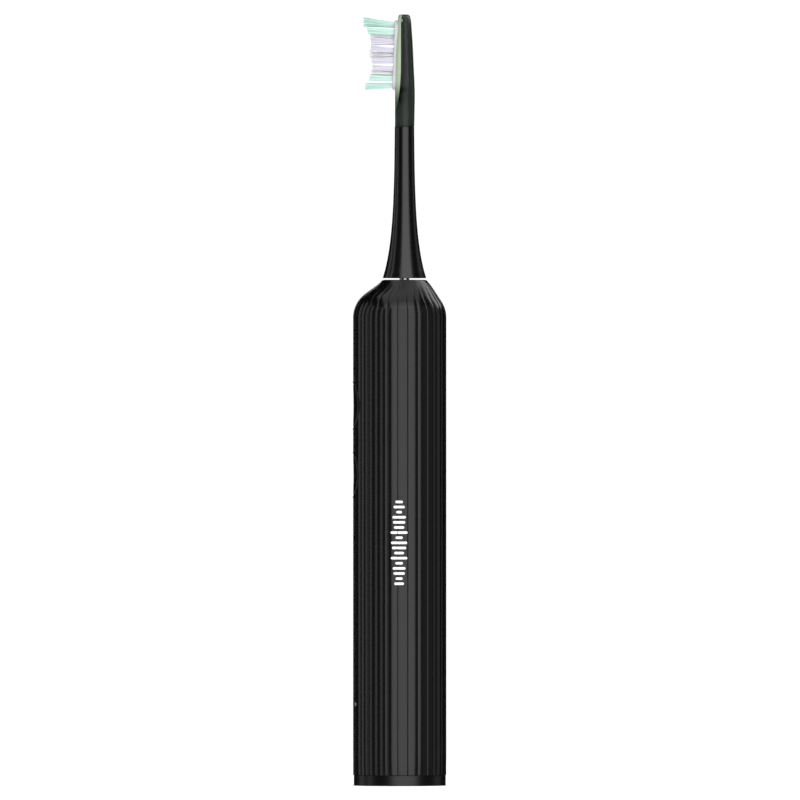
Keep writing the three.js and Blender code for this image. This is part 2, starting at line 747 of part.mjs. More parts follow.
function headBody() {
  const outline = new THREE.SplineCurve(headSections.map(([h, w]) => new THREE.Vector2(h, w)));
  const depths = new THREE.SplineCurve(headSections.map(([, , f, b]) => new THREE.Vector2(f, b)));
  const steps = 10;
  const around = 24;
  const rings = Array.from({ length: steps + 1 }, (_, k) => {
    const { x: height, y: halfWidth } = outline.getPoint(k / steps);
    const { x: front, y: back } = depths.getPoint(k / steps);
    const flattening = THREE.MathUtils.smoothstep(height, 4, 14);
    return Array.from({ length: around }, (_, i) => {
      const angle = (2 * Math.PI * i) / around;
      const facesFront = Math.cos(angle) > 0;
      const power = 2 / (2 + (facesFront ? head.frontSquareness : head.backSquareness) * flattening);
      const round = (value) => Math.sign(value) * Math.abs(value) ** power;
      const x = (front + back) / 2 - ((back - front) / 2) * round(Math.cos(angle));
      return new THREE.Vector3(x, -halfWidth * round(Math.sin(angle)), sleeveTopZ + height);
    });
  });
  return lofted(rings);
}

// The parting surface between the pale front frame and the smoke body, drawn in side view.
function frontOfParting(shift) {
  const shape = new THREE.Shape();
  const x = head.parting + shift;
  shape.moveTo(x, 40);
  shape.lineTo(x, 18);
  shape.quadraticCurveTo(x, 9, -3.15 + shift, 2.5);
  shape.lineTo(-9, 2.5);
  shape.lineTo(-9, 40);
  return profileXZ(shape, 30).translate([0, 0, sleeveTopZ]);
}

// The plate's rounded outline, grown by a margin, drawn with y across and the plate's own height up.
function plateOutline(margin) {
  const radius = plate.cornerRadius + margin;
  const x = plate.halfWidth - plate.cornerRadius;
  const y = plate.halfLength - plate.cornerRadius;
  const shape = new THREE.Shape();
  [[x, y], [-x, y], [-x, -y], [x, -y]].forEach(([cx, cy], i) => {
    shape.absarc(cx, cy, radius, (i * Math.PI) / 2, ((i + 1) * Math.PI) / 2, false);
  });
  shape.closePath();
  return shape;
}

// Puts a solid of the bristle field's own frame, with the plate's front at x = 0, into the drive axis's frame.
function onPlate(body) {
  return body
    .rotate([0, THREE.MathUtils.radToDeg(head.tilt), 0])
    .translate([plate.x, 0, sleeveTopZ + plate.z]);
}

// The room in the head for the plate and for the roots behind it.
function bristleRecess() {
  const seat = slab(plateOutline(seatGap), -2, plate.thickness + seatGap);
  const roots = slab(plateOutline(-plate.ledge), 0, plate.thickness + web.thickness + web.room);
  return onPlate(seat.add(roots));
}

function headFrontFrame() {
  return headBody().intersect(frontOfParting(0)).subtract(bristleRecess());
}

function headStem() {
  const coreInset = head.sleeveWall + seatGap;
  const core = turned([
    [0, insertTopZ + seatGap],
    ...sleeveStations(5, coreInset, insertTopZ + seatGap - headBaseZ, head.sleeveHeight - 0.02),
    [sleeveRadius(head.sleeveHeight) - coreInset, sleeveTopZ + 1],
    [0, sleeveTopZ + 1],
  ]);
  const upper = headBody()
    .subtract(frontOfParting(seatGap))
    .subtract(block([-9, -9, sleeveTopZ - 1], [9, 9, sleeveTopZ + seatGap]));
  return upper.add(core).subtract(bristleRecess()).subtract(shaftSolid(runGap * 2));
}

function tuftPlaces({ across }) {
  return Array.from({ length: across }, (_, i) => (i - (across - 1) / 2) * tuft.column);
}

function bristlePlate() {
  const holes = tuftBlocks.flatMap(({ rows }) => rows.flatMap((row) => tuftPlaces(row).map((y) => {
    const gap = tuft.holeGap;
    const ringAt = (x) => tuftRing(x, y, row.v, tuft.radius + gap, row.half + gap);
    return lofted([ringAt(-1), ringAt(plate.thickness + 1)]);
  })));
  const blank = slab(plateOutline(0), 0, plate.thickness);
  return holes.reduce((body, hole) => body.subtract(hole), blank);
}

function tuftRing(x, y, v, halfWidth, halfHeight, slant = 0) {
  return Array.from({ length: tuft.sides }, (_, i) => {
    const angle = (2 * Math.PI * (i + 0.5)) / tuft.sides;
    const up = halfHeight * Math.cos(angle);
    return new THREE.Vector3(x - slant * up, y + halfWidth * Math.sin(angle), v + up);
  });
}

// One tuft: straight through the plate, then slightly fanned out to its trimmed end.
function tuftSolid(row, y) {
  const radius = Math.min(tuft.radius, row.half + 0.1);
  const root = plate.thickness + web.thickness + seatGap;
  return lofted([
    tuftRing(root, y, row.v, radius, row.half),
    tuftRing(0, y, row.v, radius, row.half),
    tuftRing(-row.length, y * 1.03, row.v + row.lean, radius * 1.06, row.half * row.fan, row.slant),
  ]);
}

// The tufts of one block, with the fused web of roots behind the plate that joins them: a bar for each row, and a
// spine that joins the bars.
function tuftBlock({ rows }) {
  const tops = rows.map((row) => row.v);
  const low = plate.thickness + seatGap;
  const bar = (reach, bottom, top) => block([low, -reach, bottom], [low + web.thickness, reach, top]);
  const spine = bar(tuft.column / 2, Math.min(...tops), Math.max(...tops) + 0.1);
  const bars = rows.map((row) =>
    bar(Math.max(...tuftPlaces(row)), row.v - web.halfHeight, row.v + web.halfHeight));
  const tufts = rows.flatMap((row) => tuftPlaces(row).map((y) => tuftSolid(row, y)));
  return [...bars, ...tufts].reduce((body, one) => body.add(one), spine);
}

/* ------------------------------------------------------------------ assembly */

function at(object, x, y, z) {
  object.position.set(x, y, z);
  return object;
}

function handleGroup() {
  const group = new THREE.Group();
  group.add(
    mesh("handle_shell", handleShell(), finish.shell),
    mesh("base_cap", baseCap(), finish.cap),
    mesh("base_seal_ring", baseSealRing(), finish.rubber),
    mesh("coil_bobbin", coilBobbin(), finish.frame),
    mesh("charging_coil", chargingCoil(), finish.copper),
    mesh("coil_lead_left", coilLead(-1), finish.redWire),
    mesh("coil_lead_right", coilLead(1), finish.blackWire),
    mesh("inner_frame", innerFrame(), finish.frame),
    mesh("circuit_board", circuitBoard(), finish.board),
    at(mesh("microcontroller", chip(5, 0.9), finish.chip), 0, 0, 62),
    at(mesh("charge_controller", chip(3.2, 0.9), finish.chip), 0, 0, 44),
    mesh("button_membrane", buttonMembrane(), finish.rubber),
    at(mesh("battery_light_guide", lightGuide(), finish.clear), 0, 0, light.z),
    at(mesh("battery_led_bar", ledBar(), finish.plate), 0, 0, light.z),
    at(mesh("battery_tab_lower", batteryTab(), finish.nickel), 0, 0, lowerTabZ),
    at(mesh("battery_tab_upper", batteryTab(), finish.nickel), 0, 0, upperTabZ),
    mesh("motor_mount_boot", mountBoot(), finish.rubber),
  );
  ["board_screw_lower", "board_screw_upper"].forEach((name, i) => {
    const made = mesh(name, panScrew(board.thickness + board.standoff + 1.1), finish.steel);
    made.rotation.y = -Math.PI / 2;
    group.add(at(made, boardFrontX - seatGap / 2, 0, boardScrewHeights()[i]));
  });
  for (const one of [power, mode]) {
    const place = at(new THREE.Group(), 0, 0, one.z);
    place.add(
      mesh(`${one.name}_button`, buttonCap(one), finish.button),
      mesh(`${one.name}_plunger`, buttonPlunger(), finish.frame),
      mesh(`${one.name}_switch`, tactSwitch(), finish.chip),
    );
    group.add(place);
  }
  return group;
}

function driveGroup() {
  const group = at(new THREE.Group(), drive.x, 0, 0);
  const bearingHole = bearingRadius + seatGap;
  const screwHole = rod(screw.shankRadius + seatGap, -5, 5, 0, 12);
  const screwHoles = [-1, 1].map((side) => screwHole.translate([0, side * motorScrewY, 0]));
  const frontPlate = screwHoles.reduce(
    (body, hole) => body.subtract(hole),
    ring(bearingHole, motor.radius - seatGap, 0, motor.plate),
  );
  const hubZ = coilTopZ() + 1.6;
  group.add(
    at(mesh("battery_pad", rod(battery.radius - 0.4, 0, battery.pad, 0.3), finish.foam), 0, 0, padZ),
    at(mesh("battery_cell", batteryCell(), finish.cell), 0, 0, batteryZ),
    mesh("motor_can", ring(canInnerRadius, motor.radius, motorRearZ, motorFrontZ), finish.can),
    at(mesh("motor_front_plate", frontPlate, finish.can), 0, 0, frontPlateZ),
    at(mesh("motor_rear_plate", ring(bearingHole, motor.radius - seatGap, 0, motor.plate), finish.can),
      0, 0, rearPlateZ),
    mesh("front_bearing", ring(drive.shaftRadius + runGap, bearingRadius, motorFrontZ - 0.4, frameTopZ - 0.8),
      finish.copper),
    mesh("rear_bearing", ring(drive.shaftRadius + runGap, bearingRadius, rearPlateZ - 0.4, motorRearZ + 1),
      finish.copper),
    mesh("stator_core", stator(), finish.magnet),
    mesh("motor_coil", motorCoil(), finish.copper),
    mesh("drive_shaft", shaftSolid(), finish.steel),
    mesh("rotor_hub", ring(drive.shaftRadius + 0.06, rotor.hubRadius, hubZ, hubZ + rotor.magnetLength + 1),
      finish.steel),
    mesh("seal_clamp_ring", ring(drive.shaftRadius + 1.2, 7.2, topZ - 6.2, topZ - 4.75), finish.frame),
    mesh("shaft_seal", shaftSeal(), finish.rubber),
  );
  ["rotor_magnet_front", "rotor_magnet_back"].forEach((name, i) => {
    const magnet = at(mesh(name, rotorMagnet(), finish.magnet), 0, 0, hubZ + 0.5);
    magnet.rotation.z = i === 0 ? Math.PI : 0;
    group.add(magnet);
  });
  for (const [side, word, material] of [[-1, "left", finish.redWire], [1, "right", finish.blackWire]]) {
    const y = side * 2.2;
    const x = boardBackX - drive.x + seatGap;
    const low = wireWindow.top - motor.leadDrop;
    const start = rearPlateZ - seatGap;
    const lead = wire([[-4, y, start], [-4.2, y, start - 1.7], [x + 1.8, y, low], [x, y, low]]);
    const pan = mesh(`motor_screw_${word}`, panScrew(frame.topWall + seatGap + 0.9), finish.steel);
    group.add(mesh(`motor_lead_${word}`, lead, material), at(pan, 0, side * motorScrewY, frameTopZ + seatGap / 2));
  }
  return group;
}

function brushHeadGroup() {
  const group = at(new THREE.Group(), drive.x, 0, 0);
  const field = at(new THREE.Group(), plate.x, 0, sleeveTopZ + plate.z);
  field.rotation.y = head.tilt;
  field.add(
    mesh("bristle_plate", bristlePlate(), finish.plate),
    ...tuftBlocks.map((one) => mesh(one.name, tuftBlock(one), finish[one.colour])),
  );
  group.add(
    mesh("neck_sleeve", neckSleeve(), finish.sleeve),
    mesh("coupling_insert", couplingInsert(), finish.frame),
    mesh("shaft_clip", shaftClip(), finish.steel),
    mesh("head_stem", headStem(), finish.smoke),
    mesh("head_front_frame", headFrontFrame(), finish.rim),
    field,
  );
  return group;
}

const toothbrush = new THREE.Group();
toothbrush.add(handleGroup(), driveGroup(), brushHeadGroup());

export default toothbrush;
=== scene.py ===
import json
import math

import bmesh
import bpy
import numpy as np
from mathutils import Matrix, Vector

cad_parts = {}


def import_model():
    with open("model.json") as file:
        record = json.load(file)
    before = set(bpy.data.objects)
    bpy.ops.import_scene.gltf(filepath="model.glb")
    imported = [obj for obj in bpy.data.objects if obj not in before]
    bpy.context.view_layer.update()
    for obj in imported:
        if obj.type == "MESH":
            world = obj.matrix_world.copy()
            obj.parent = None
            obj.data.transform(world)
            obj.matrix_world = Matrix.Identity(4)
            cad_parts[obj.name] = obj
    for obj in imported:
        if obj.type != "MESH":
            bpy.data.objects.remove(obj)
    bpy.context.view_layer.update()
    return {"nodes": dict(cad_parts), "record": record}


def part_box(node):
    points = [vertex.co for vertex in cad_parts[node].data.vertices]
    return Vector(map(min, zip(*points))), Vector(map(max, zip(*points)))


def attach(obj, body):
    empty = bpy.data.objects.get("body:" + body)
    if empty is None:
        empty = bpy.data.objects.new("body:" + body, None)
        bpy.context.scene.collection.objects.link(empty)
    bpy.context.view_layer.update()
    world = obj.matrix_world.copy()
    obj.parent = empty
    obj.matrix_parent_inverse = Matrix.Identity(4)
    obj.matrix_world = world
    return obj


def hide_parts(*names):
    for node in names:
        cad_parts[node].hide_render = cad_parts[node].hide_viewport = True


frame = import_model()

MM = 0.001
TURN = 2 * math.pi
# Points closer together than this, in metres, become one.
SAME_POINT = 1e-8


def extent(node):
    """A CAD node's lowest and highest corners, in millimetres."""
    low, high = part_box(node)
    return np.array(low) / MM, np.array(high) / MM


def middle_z(node):
    """The height of a CAD node's middle."""
    low, high = extent(node)
    return (low[2] + high[2]) / 2


# ---------------------------------------------------------------- sizes

# The handle: ribs whose skin falls from the crest circle by their roundness, then by the groove's depth. The
# groove takes up the last share of each rib's half width.
CREST_RADIUS = extent("handle_shell")[1][1]
RIBS = 27
RIB_ROUNDNESS = 0.12
GROOVE_DEPTH = 0.05
GROOVE_SHARE = 0.12
HANDLE_BOTTOM = extent("handle_shell")[0][2]
HANDLE_TOP = extent("handle_shell")[1][2]
SHOULDER_HEIGHT = 11.3
SHOULDER_Z = HANDLE_TOP - SHOULDER_HEIGHT
# The share of the shoulder's narrowing after which it leans over and its ribs fade.
SHOULDER_LEAN = 0.2
NECK_RADIUS = 6.6
WALL_RADIUS = 12.0
NECK_BORE = 4.7
CEILING_Z = HANDLE_TOP - 3.5

# The drive axis, which the shaft and the brush head share, and the shaft.
DRIVE_X = 1.4
SHAFT_RADIUS = 1.5
SHAFT_FLAT = 0.4
SHAFT_FLAT_LENGTH = 14.0

# The buttons, what is printed on the skin, and the battery lights across the front.
BUTTON_GAP = 0.25
BUTTON_FACE_RADIUS = CREST_RADIUS - 0.02
BUTTON_BACK_RADIUS = 12.95
BUTTON_EDGE = 0.3
BUTTON_DISH = 0.1
BUTTON_DISH_SHARE = 0.94
PRINT_LIFT = 0.012
LIGHT_PLACES = (-3.9, 0.0, 3.9)
LIGHT_RADIUS = 0.65

# The neck sleeve, whose foot comes down a little past the CAD's. It narrows from its foot to its neck, by a
# constant share over each flare's height.
SLEEVE_DROP = 0.09
SLEEVE_BOTTOM = extent("neck_sleeve")[0][2] - SLEEVE_DROP
SLEEVE_TOP = extent("neck_sleeve")[1][2]
SLEEVE_FOOT = 6.52
SLEEVE_NECK = 2.84
SLEEVE_FLARE = 11.8
SLEEVE_WALL = 1.0

# The bristle plate and the head's parting line, with places along X measured from the drive axis.
PLATE_X = -3.28
PLATE_Z = SLEEVE_TOP + 21.4
PLATE_TILT = math.radians(2.18)
PLATE_HALF_LENGTH = 10.4
PLATE_HALF_WIDTH = 4.9
PLATE_CORNER = 3.4
PLATE_THICKNESS = 1.3
PARTING_X = -1.1

# The tufts, with the distance between their columns, and the filaments packed in them.
TUFT_RADIUS = 0.8
TUFT_COLUMN = 2.3
HOLE_GAP = 0.05
FILAMENT_RADIUS = 0.088
FILAMENT_PITCH = 0.188


# ---------------------------------------------------------------- mesh helpers

def piece(name, points, faces, material, sharp=35):
    """A shaded mesh object from points in millimetres, with edges sharper than an angle kept crisp."""
    data = bpy.data.meshes.new(name)
    data.from_pydata((np.asarray(points) * MM).tolist(), [], faces)
    made = bpy.data.objects.new(name, data)
    bpy.context.scene.collection.objects.link(made)
    data.materials.append(material)
    tidy(made, sharp)
    return made


def tidy(made, sharp=35):
    """Merges doubled points, turns the faces outwards and smooths all but the sharp edges."""
    net = bmesh.new()
    net.from_mesh(made.data)
    bmesh.ops.remove_doubles(net, verts=net.verts, dist=SAME_POINT)
    bmesh.ops.dissolve_degenerate(net, edges=net.edges, dist=SAME_POINT)
    bmesh.ops.recalc_face_normals(net, faces=net.faces)
    net.to_mesh(made.data)
    net.free()
    made.data.shade_smooth()
    made.data.set_sharp_from_angle(angle=math.radians(sharp))


def loft(rings, closed=False):
    """Points and faces of a skin through rings of equally many points. A closed skin joins its last ring to
    its first, and an open one gets a flat end at each side."""
    rings = np.asarray(rings, float)
    rows, count = rings.shape[:2]
    faces = []
    for row in range(rows if closed else rows - 1):
        low, high = row * count, (row + 1) % rows * count
        for i in range(count):
            j = (i + 1) % count
            faces.append((low + i, low + j, high + j, high + i))
    if not closed:
        faces.append(tuple(range(count))[::-1])
        faces.append(tuple(range((rows - 1) * count, rows * count)))
    return rings.reshape(-1, 3), faces


def circle(radius, z, segments, x=0.0):
    """A level ring of points about an upright axis at x, which starts at the front."""
    turn = np.arange(segments) * TURN / segments
    return np.stack([x - radius * np.cos(turn), -radius * np.sin(turn), np.full(segments, z)], axis=1)


def turned(name, profile, material, segments=128, x=0.0, sharp=35):
    """A closed outline of (radius, height) points turned about an upright axis at x."""
    rings = [circle(radius, z, segments, x) for radius, z in profile]
    return piece(name, *loft(rings, closed=True), material, sharp)


def rounded(outline, radius, steps=4):
    """A closed outline with each corner swapped for a short curve, as wide as its sides allow."""
    result = []
    count = len(outline)
    for i in range(count):
        before, corner, after = (np.array(outline[(i + k) % count], float) for k in (-1, 0, 1))
        if corner[0] == 0:
            result.append(corner)
            continue
        sides = [before - corner, after - corner]
        reach = min([radius] + [0.45 * np.linalg.norm(side) for side in sides])
        start, end = (corner + side * reach / np.linalg.norm(side) for side in sides)
        for t in np.linspace(0, 1, steps + 1):
            result.append((1 - t) ** 2 * start + 2 * t * (1 - t) * corner + t ** 2 * end)
    return result


def joined(parts):
    """Points and faces of several meshes as one."""
    points, faces = [], []
    for more_points, more_faces in parts:
        shift = sum(len(found) for found in points)
        points.append(np.asarray(more_points))
        faces += [tuple(corner + shift for corner in face) for face in more_faces]
    return np.concatenate(points), faces


def carve(made, cutter_mesh, operation="DIFFERENCE"):
    """Cuts a mesh out of a piece, or keeps only what lies inside it."""
    cutter = piece("cutter", *cutter_mesh, made.data.materials[0])
    change = made.modifiers.new("carve", "BOOLEAN")
    change.operation = operation
    change.solver = "EXACT"
    change.object = cutter
    seen = made.evaluated_get(bpy.context.evaluated_depsgraph_get())
    made.data = bpy.data.meshes.new_from_object(seen)
    made.modifiers.clear()
    bpy.data.objects.remove(cutter)
    tidy(made)


def settle(made, body, stands_for=()):
    """Ties a finished piece to its CAD body, and hides the CAD nodes that it stands for."""
    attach(made, body)
    if stands_for:
        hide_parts(*stands_for)


def smoothstep(value, low, high):
    """A value between low and high as a smooth change from 0 to 1."""
    t = np.clip((value - low) / (high - low), 0, 1)
    return t * t * (3 - 2 * t)


# ---------------------------------------------------------------- materials

# How far light spreads under the skin of pale plastic, in each colour.
SOFT_PLASTIC = (0.6 * MM, 0.6 * MM, 0.6 * MM)
MILKY_PLASTIC = (0.8 * MM, 0.8 * MM, 0.8 * MM)
# Heights above the neck sleeve between which the front frame turns pale, and dark again.
PALE_FROM, PALE_FULL = 6.5, 14
DARK_FROM, DARK_FULL = 31, 35.5


def new_material(name):
    """A material with its nodes, its links and its main shader."""
    made = bpy.data.materials.new(name)
    made.use_nodes = True
    nodes = made.node_tree.nodes
    return made, nodes, made.node_tree.links, nodes["Principled BSDF"]


def noise(nodes, links, scale, detail=2.0, stretch=(1, 1, 1)):
    """A noise texture in the object's own metres, stretched along its axes."""
    place = nodes.new("ShaderNodeTexCoord")
    mapping = nodes.new("ShaderNodeMapping")
    mapping.inputs["Scale"].default_value = stretch
    texture = nodes.new("ShaderNodeTexNoise")
    texture.inputs["Scale"].default_value = scale
    texture.inputs["Detail"].default_value = detail
    links.new(place.outputs["Object"], mapping.inputs["Vector"])
    links.new(mapping.outputs["Vector"], texture.inputs["Vector"])
    return texture.outputs["Fac"]


def spread(nodes, links, source, low, high):
    """A 0 to 1 value stretched over the middle of the noise's range, from low to high."""
    change = nodes.new("ShaderNodeMapRange")
    change.inputs["From Min"].default_value = 0.3
    change.inputs["From Max"].default_value = 0.7
    change.inputs["To Min"].default_value = low
    change.inputs["To Max"].default_value = high
    links.new(source, change.inputs["Value"])
    return change.outputs["Result"]


def tint(nodes, links, factor, first, second):
    """A colour that goes from the first to the second with a factor."""
    mix = nodes.new("ShaderNodeMix")
    mix.data_type = "RGBA"
    mix.inputs["A"].default_value = (*first, 1)
    mix.inputs["B"].default_value = (*second, 1)
    links.new(factor, mix.inputs["Factor"])
    return mix.outputs["Result"]


def bump(nodes, links, shader, height, depth):
    """Fine relief on a shader, with its depth in millimetres."""
    relief = nodes.new("ShaderNodeBump")
    relief.inputs["Strength"].default_value = 1.0
    relief.inputs["Distance"].default_value = depth * MM
    links.new(height, relief.inputs["Height"])
    links.new(relief.outputs["Normal"], shader.inputs["Normal"])


def surface(name, colour, rough, metal=0.0, grain=8000, depth=0.0015, vary=0.25, stretch=(1, 1, 1),
            **constants):
    """A moulded, ground or cast surface: mottled colour and gloss, with fine grain as relief."""
    made, nodes, links, shader = new_material(name)
    darker = tuple(np.array(colour) * (1 - vary))
    paler = tuple(np.minimum(np.array(colour) * (1 + vary), 1))
    shade = tint(nodes, links, noise(nodes, links, 160, 3), darker, paler)
    links.new(shade, shader.inputs["Base Color"])
    fine = noise(nodes, links, grain, 2, stretch)
    links.new(spread(nodes, links, fine, rough * 0.85, rough * 1.15), shader.inputs["Roughness"])
    shader.inputs["Metallic"].default_value = metal
    for socket, value in constants.items():
        shader.inputs[socket.replace("_", " ")].default_value = value
    bump(nodes, links, shader, fine, depth)
    return made


def filament_material(name, colour):
    """Nylon: each filament has its own shade, and light passes through the bundle."""
    made, nodes, links, shader = new_material(name)
    island = nodes.new("ShaderNodeNewGeometry")
    colour = np.array(colour)
    shade = tint(nodes, links, island.outputs["Random Per Island"], tuple(colour * 0.86), tuple(colour))
    links.new(shade, shader.inputs["Base Color"])
    streak = noise(nodes, links, 3000, 2, (0.1, 1, 1))
    links.new(spread(nodes, links, streak, 0.3, 0.45), shader.inputs["Roughness"])
    shader.inputs["Subsurface Weight"].default_value = 0.35
    shader.inputs["Subsurface Radius"].default_value = SOFT_PLASTIC
    return made


def height_fade(nodes, links, start, end):
    """A value that goes smoothly from 0 to 1 between two heights above the neck sleeve."""
    place, height = nodes.new("ShaderNodeTexCoord"), nodes.new("ShaderNodeSeparateXYZ")
    links.new(place.outputs["Object"], height.inputs["Vector"])
    fade = nodes.new("ShaderNodeMapRange")
    fade.interpolation_type = "SMOOTHSTEP"
    fade.inputs["From Min"].default_value = (SLEEVE_TOP + start) * MM
    fade.inputs["From Max"].default_value = (SLEEVE_TOP + end) * MM
    links.new(height.outputs["Z"], fade.inputs["Value"])
    return fade.outputs["Result"]


def tinted_front(name):
    """Pale green plastic that turns dark at the frame's top and over the smoke tinted stem."""
    made, nodes, links, shader = new_material(name)
    pale_share = nodes.new("ShaderNodeMath")
    pale_share.operation = "SUBTRACT"
    links.new(height_fade(nodes, links, PALE_FROM, PALE_FULL), pale_share.inputs[0])
    links.new(height_fade(nodes, links, DARK_FROM, DARK_FULL), pale_share.inputs[1])
    pale = tint(nodes, links, noise(nodes, links, 200, 2), (0.28, 0.36, 0.25), (0.33, 0.41, 0.29))
    mix = nodes.new("ShaderNodeMix")
    mix.data_type = "RGBA"
    mix.inputs["A"].default_value = (0.035, 0.06, 0.04, 1)
    links.new(pale_share.outputs["Value"], mix.inputs["Factor"])
    links.new(pale, mix.inputs["B"])
    links.new(mix.outputs["Result"], shader.inputs["Base Color"])
    shader.inputs["Roughness"].default_value = 0.22
    shader.inputs["Subsurface Weight"].default_value = 0.25
    shader.inputs["Subsurface Radius"].default_value = SOFT_PLASTIC
    return made


def wound_material(name):
    """Enamelled wire wound in turns that lie across the axis, with painted shade that darkens the copper in
    the hollows between turns.
    """
    made, nodes, links, shader = new_material(name)
    place = nodes.new("ShaderNodeTexCoord")
    turns = nodes.new("ShaderNodeTexWave")
    turns.bands_direction = "Z"
    turns.inputs["Scale"].default_value = 900
    links.new(place.outputs["Object"], turns.inputs["Vector"])
    # Painted shade: the copper colour darkens into the hollows between turns, on the same bands as the
    # relief.
    shade = tint(nodes, links, turns.outputs["Fac"], (0.18, 0.05, 0.02), (0.55, 0.2, 0.07))
    links.new(shade, shader.inputs["Base Color"])
    shader.inputs["Metallic"].default_value = 1.0
    shader.inputs["Roughness"].default_value = 0.32
    bump(nodes, links, shader, turns.outputs["Fac"], 0.06)
    return made


def board_material(name):
    """Green solder mask with faint copper traces under it."""
    made, nodes, links, shader = new_material(name)
    place = nodes.new("ShaderNodeTexCoord")
    traces = nodes.new("ShaderNodeTexBrick")
    traces.inputs["Scale"].default_value = 420
    traces.inputs["Mortar Size"].default_value = 0.08
    traces.inputs["Color1"].default_value = (0.006, 0.07, 0.025, 1)
    traces.inputs["Color2"].default_value = (0.008, 0.09, 0.03, 1)
    traces.inputs["Mortar"].default_value = (0.03, 0.16, 0.05, 1)
    links.new(place.outputs["Object"], traces.inputs["Vector"])
    links.new(traces.outputs["Color"], shader.inputs["Base Color"])
    shader.inputs["Roughness"].default_value = 0.3
    shader.inputs["Coat Weight"].default_value = 0.4
    return made


MATERIALS = {
    "shell": surface("black_fluted_plastic", (0.0018, 0.0018, 0.002), 0.2, depth=0.0004),
    "cap": surface("black_base_plastic", (0.0018, 0.0018, 0.002), 0.32, depth=0.0004),
    "button": surface("black_button_plastic", (0.002, 0.002, 0.0022), 0.3, grain=6000, depth=0.002),
    "rubber": surface("black_rubber", (0.012, 0.012, 0.013), 0.6, grain=4000, depth=0.003),
    "sleeve": surface("black_neck_plastic", (0.0018, 0.0018, 0.002), 0.25, depth=0.0003, IOR=1.62),
    "smoke": surface("smoke_tinted_plastic", (0.2, 0.28, 0.21), 0.1, vary=0.08, depth=0.0003,
                     Transmission_Weight=1.0, IOR=1.3),
    "rim": tinted_front("pale_green_plastic"),
    "plate": surface("milky_plastic", (0.5, 0.5, 0.52), 0.3, vary=0.04, depth=0.0004,
                     Subsurface_Weight=0.3, Subsurface_Radius=MILKY_PLASTIC),
    "green_bristle": filament_material("green_nylon", (0.61, 0.86, 0.78)),
    "white_bristle": filament_material("white_nylon", (0.97, 0.96, 0.96)),
    "lavender_bristle": filament_material("lavender_nylon", (0.75, 0.73, 0.83)),
    "steel": surface("ground_steel", (0.6, 0.61, 0.62), 0.2, 1.0, grain=5000, stretch=(1, 1, 0.05)),
    "can": surface("plated_steel", (0.36, 0.37, 0.39), 0.32, 1.0, grain=3000, stretch=(1, 1, 0.1)),
    "nickel": surface("nickel_strip", (0.5, 0.47, 0.41), 0.3, 1.0, grain=3000, stretch=(0.1, 1, 1)),
    "magnet": surface("coated_magnet", (0.07, 0.07, 0.08), 0.35, 1.0, grain=2500, depth=0.004),
    "copper": wound_material("wound_copper"),
    "board": board_material("solder_mask"),
    "chip": surface("moulded_chip", (0.012, 0.012, 0.013), 0.5, grain=5000, depth=0.003),
    "led": surface("lamp_epoxy", (0.78, 0.78, 0.7), 0.2, vary=0.05),
    "frame": surface("natural_plastic", (0.66, 0.66, 0.6), 0.45, vary=0.06),
    "cell": surface("blue_wrap", (0.015, 0.11, 0.36), 0.3, vary=0.12, grain=900, depth=0.004),
    "foam": surface("grey_foam", (0.04, 0.04, 0.045), 0.9, grain=1800, depth=0.08),
    "clear": surface("milky_light_guide", (0.22, 0.23, 0.23), 0.25, vary=0.03, Transmission_Weight=0.3),
    "red_wire": surface("red_insulation", (0.45, 0.012, 0.01), 0.4, vary=0.1),
    "black_wire": surface("black_insulation", (0.01, 0.01, 0.01), 0.4, vary=0.1),
}
PRINT = surface("white_print", (0.8, 0.8, 0.8), 0.45, vary=0.03, depth=0.0003)
SYMBOL = surface("grey_print", (0.28, 0.28, 0.28), 0.45, vary=0.03, depth=0.0003)
CORE = surface("smoke_core_plastic", (0.07, 0.056, 0.07), 0.5, vary=0.1, depth=0.0004)


# ---------------------------------------------------------------- handle

def rib_columns():
    """Angles from the front for the columns of points round the handle, close together at the grooves."""
    half = np.array([0, 0.2, 0.4, 0.58, 0.74, 0.86, 0.91, 0.955])
    steps = np.concatenate([half, [1.0], 2 - half[:0:-1]]) / 2
    return np.concatenate([rib + steps for rib in range(RIBS)]) * TURN / RIBS


def rib_inset(angle):
    """How far the skin lies inside the crest circle: round ribs, and a narrow groove between each two."""
    place = angle * RIBS / TURN
    from_crest = 2 * np.abs(place - np.round(place))
    return RIB_ROUNDNESS * from_crest ** 2 + GROOVE_DEPTH * smoothstep(from_crest, 1 - GROOVE_SHARE, 1)


def shoulder_point(t):
    """(radius, height) on the shoulder's curve, from the barrel at 0 to the neck at 1."""
    corners = [(CREST_RADIUS, 0), (CREST_RADIUS, 0.49), (NECK_RADIUS + 2.6, 0.73), (NECK_RADIUS, 1)]
    weights = [(1 - t) ** 3, 3 * t * (1 - t) ** 2, 3 * t ** 2 * (1 - t), t ** 3]
    radius = sum(weight * corner[0] for weight, corner in zip(weights, corners))
    height = sum(weight * corner[1] for weight, corner in zip(weights, corners))
    return radius, SHOULDER_Z + height * SHOULDER_HEIGHT


def handle_ring(angles, radius, z, depth, lean):
    """One ring of the handle. It moves from the handle's axis to the drive axis as the shoulder leans."""
    reach = radius - depth * rib_inset(angles)
    shift = DRIVE_X * smoothstep(lean, SHOULDER_LEAN, 1)
    x = shift - reach * np.cos(angles)
    return np.stack([x, -reach * np.sin(angles), np.full(len(angles), z)], axis=1)


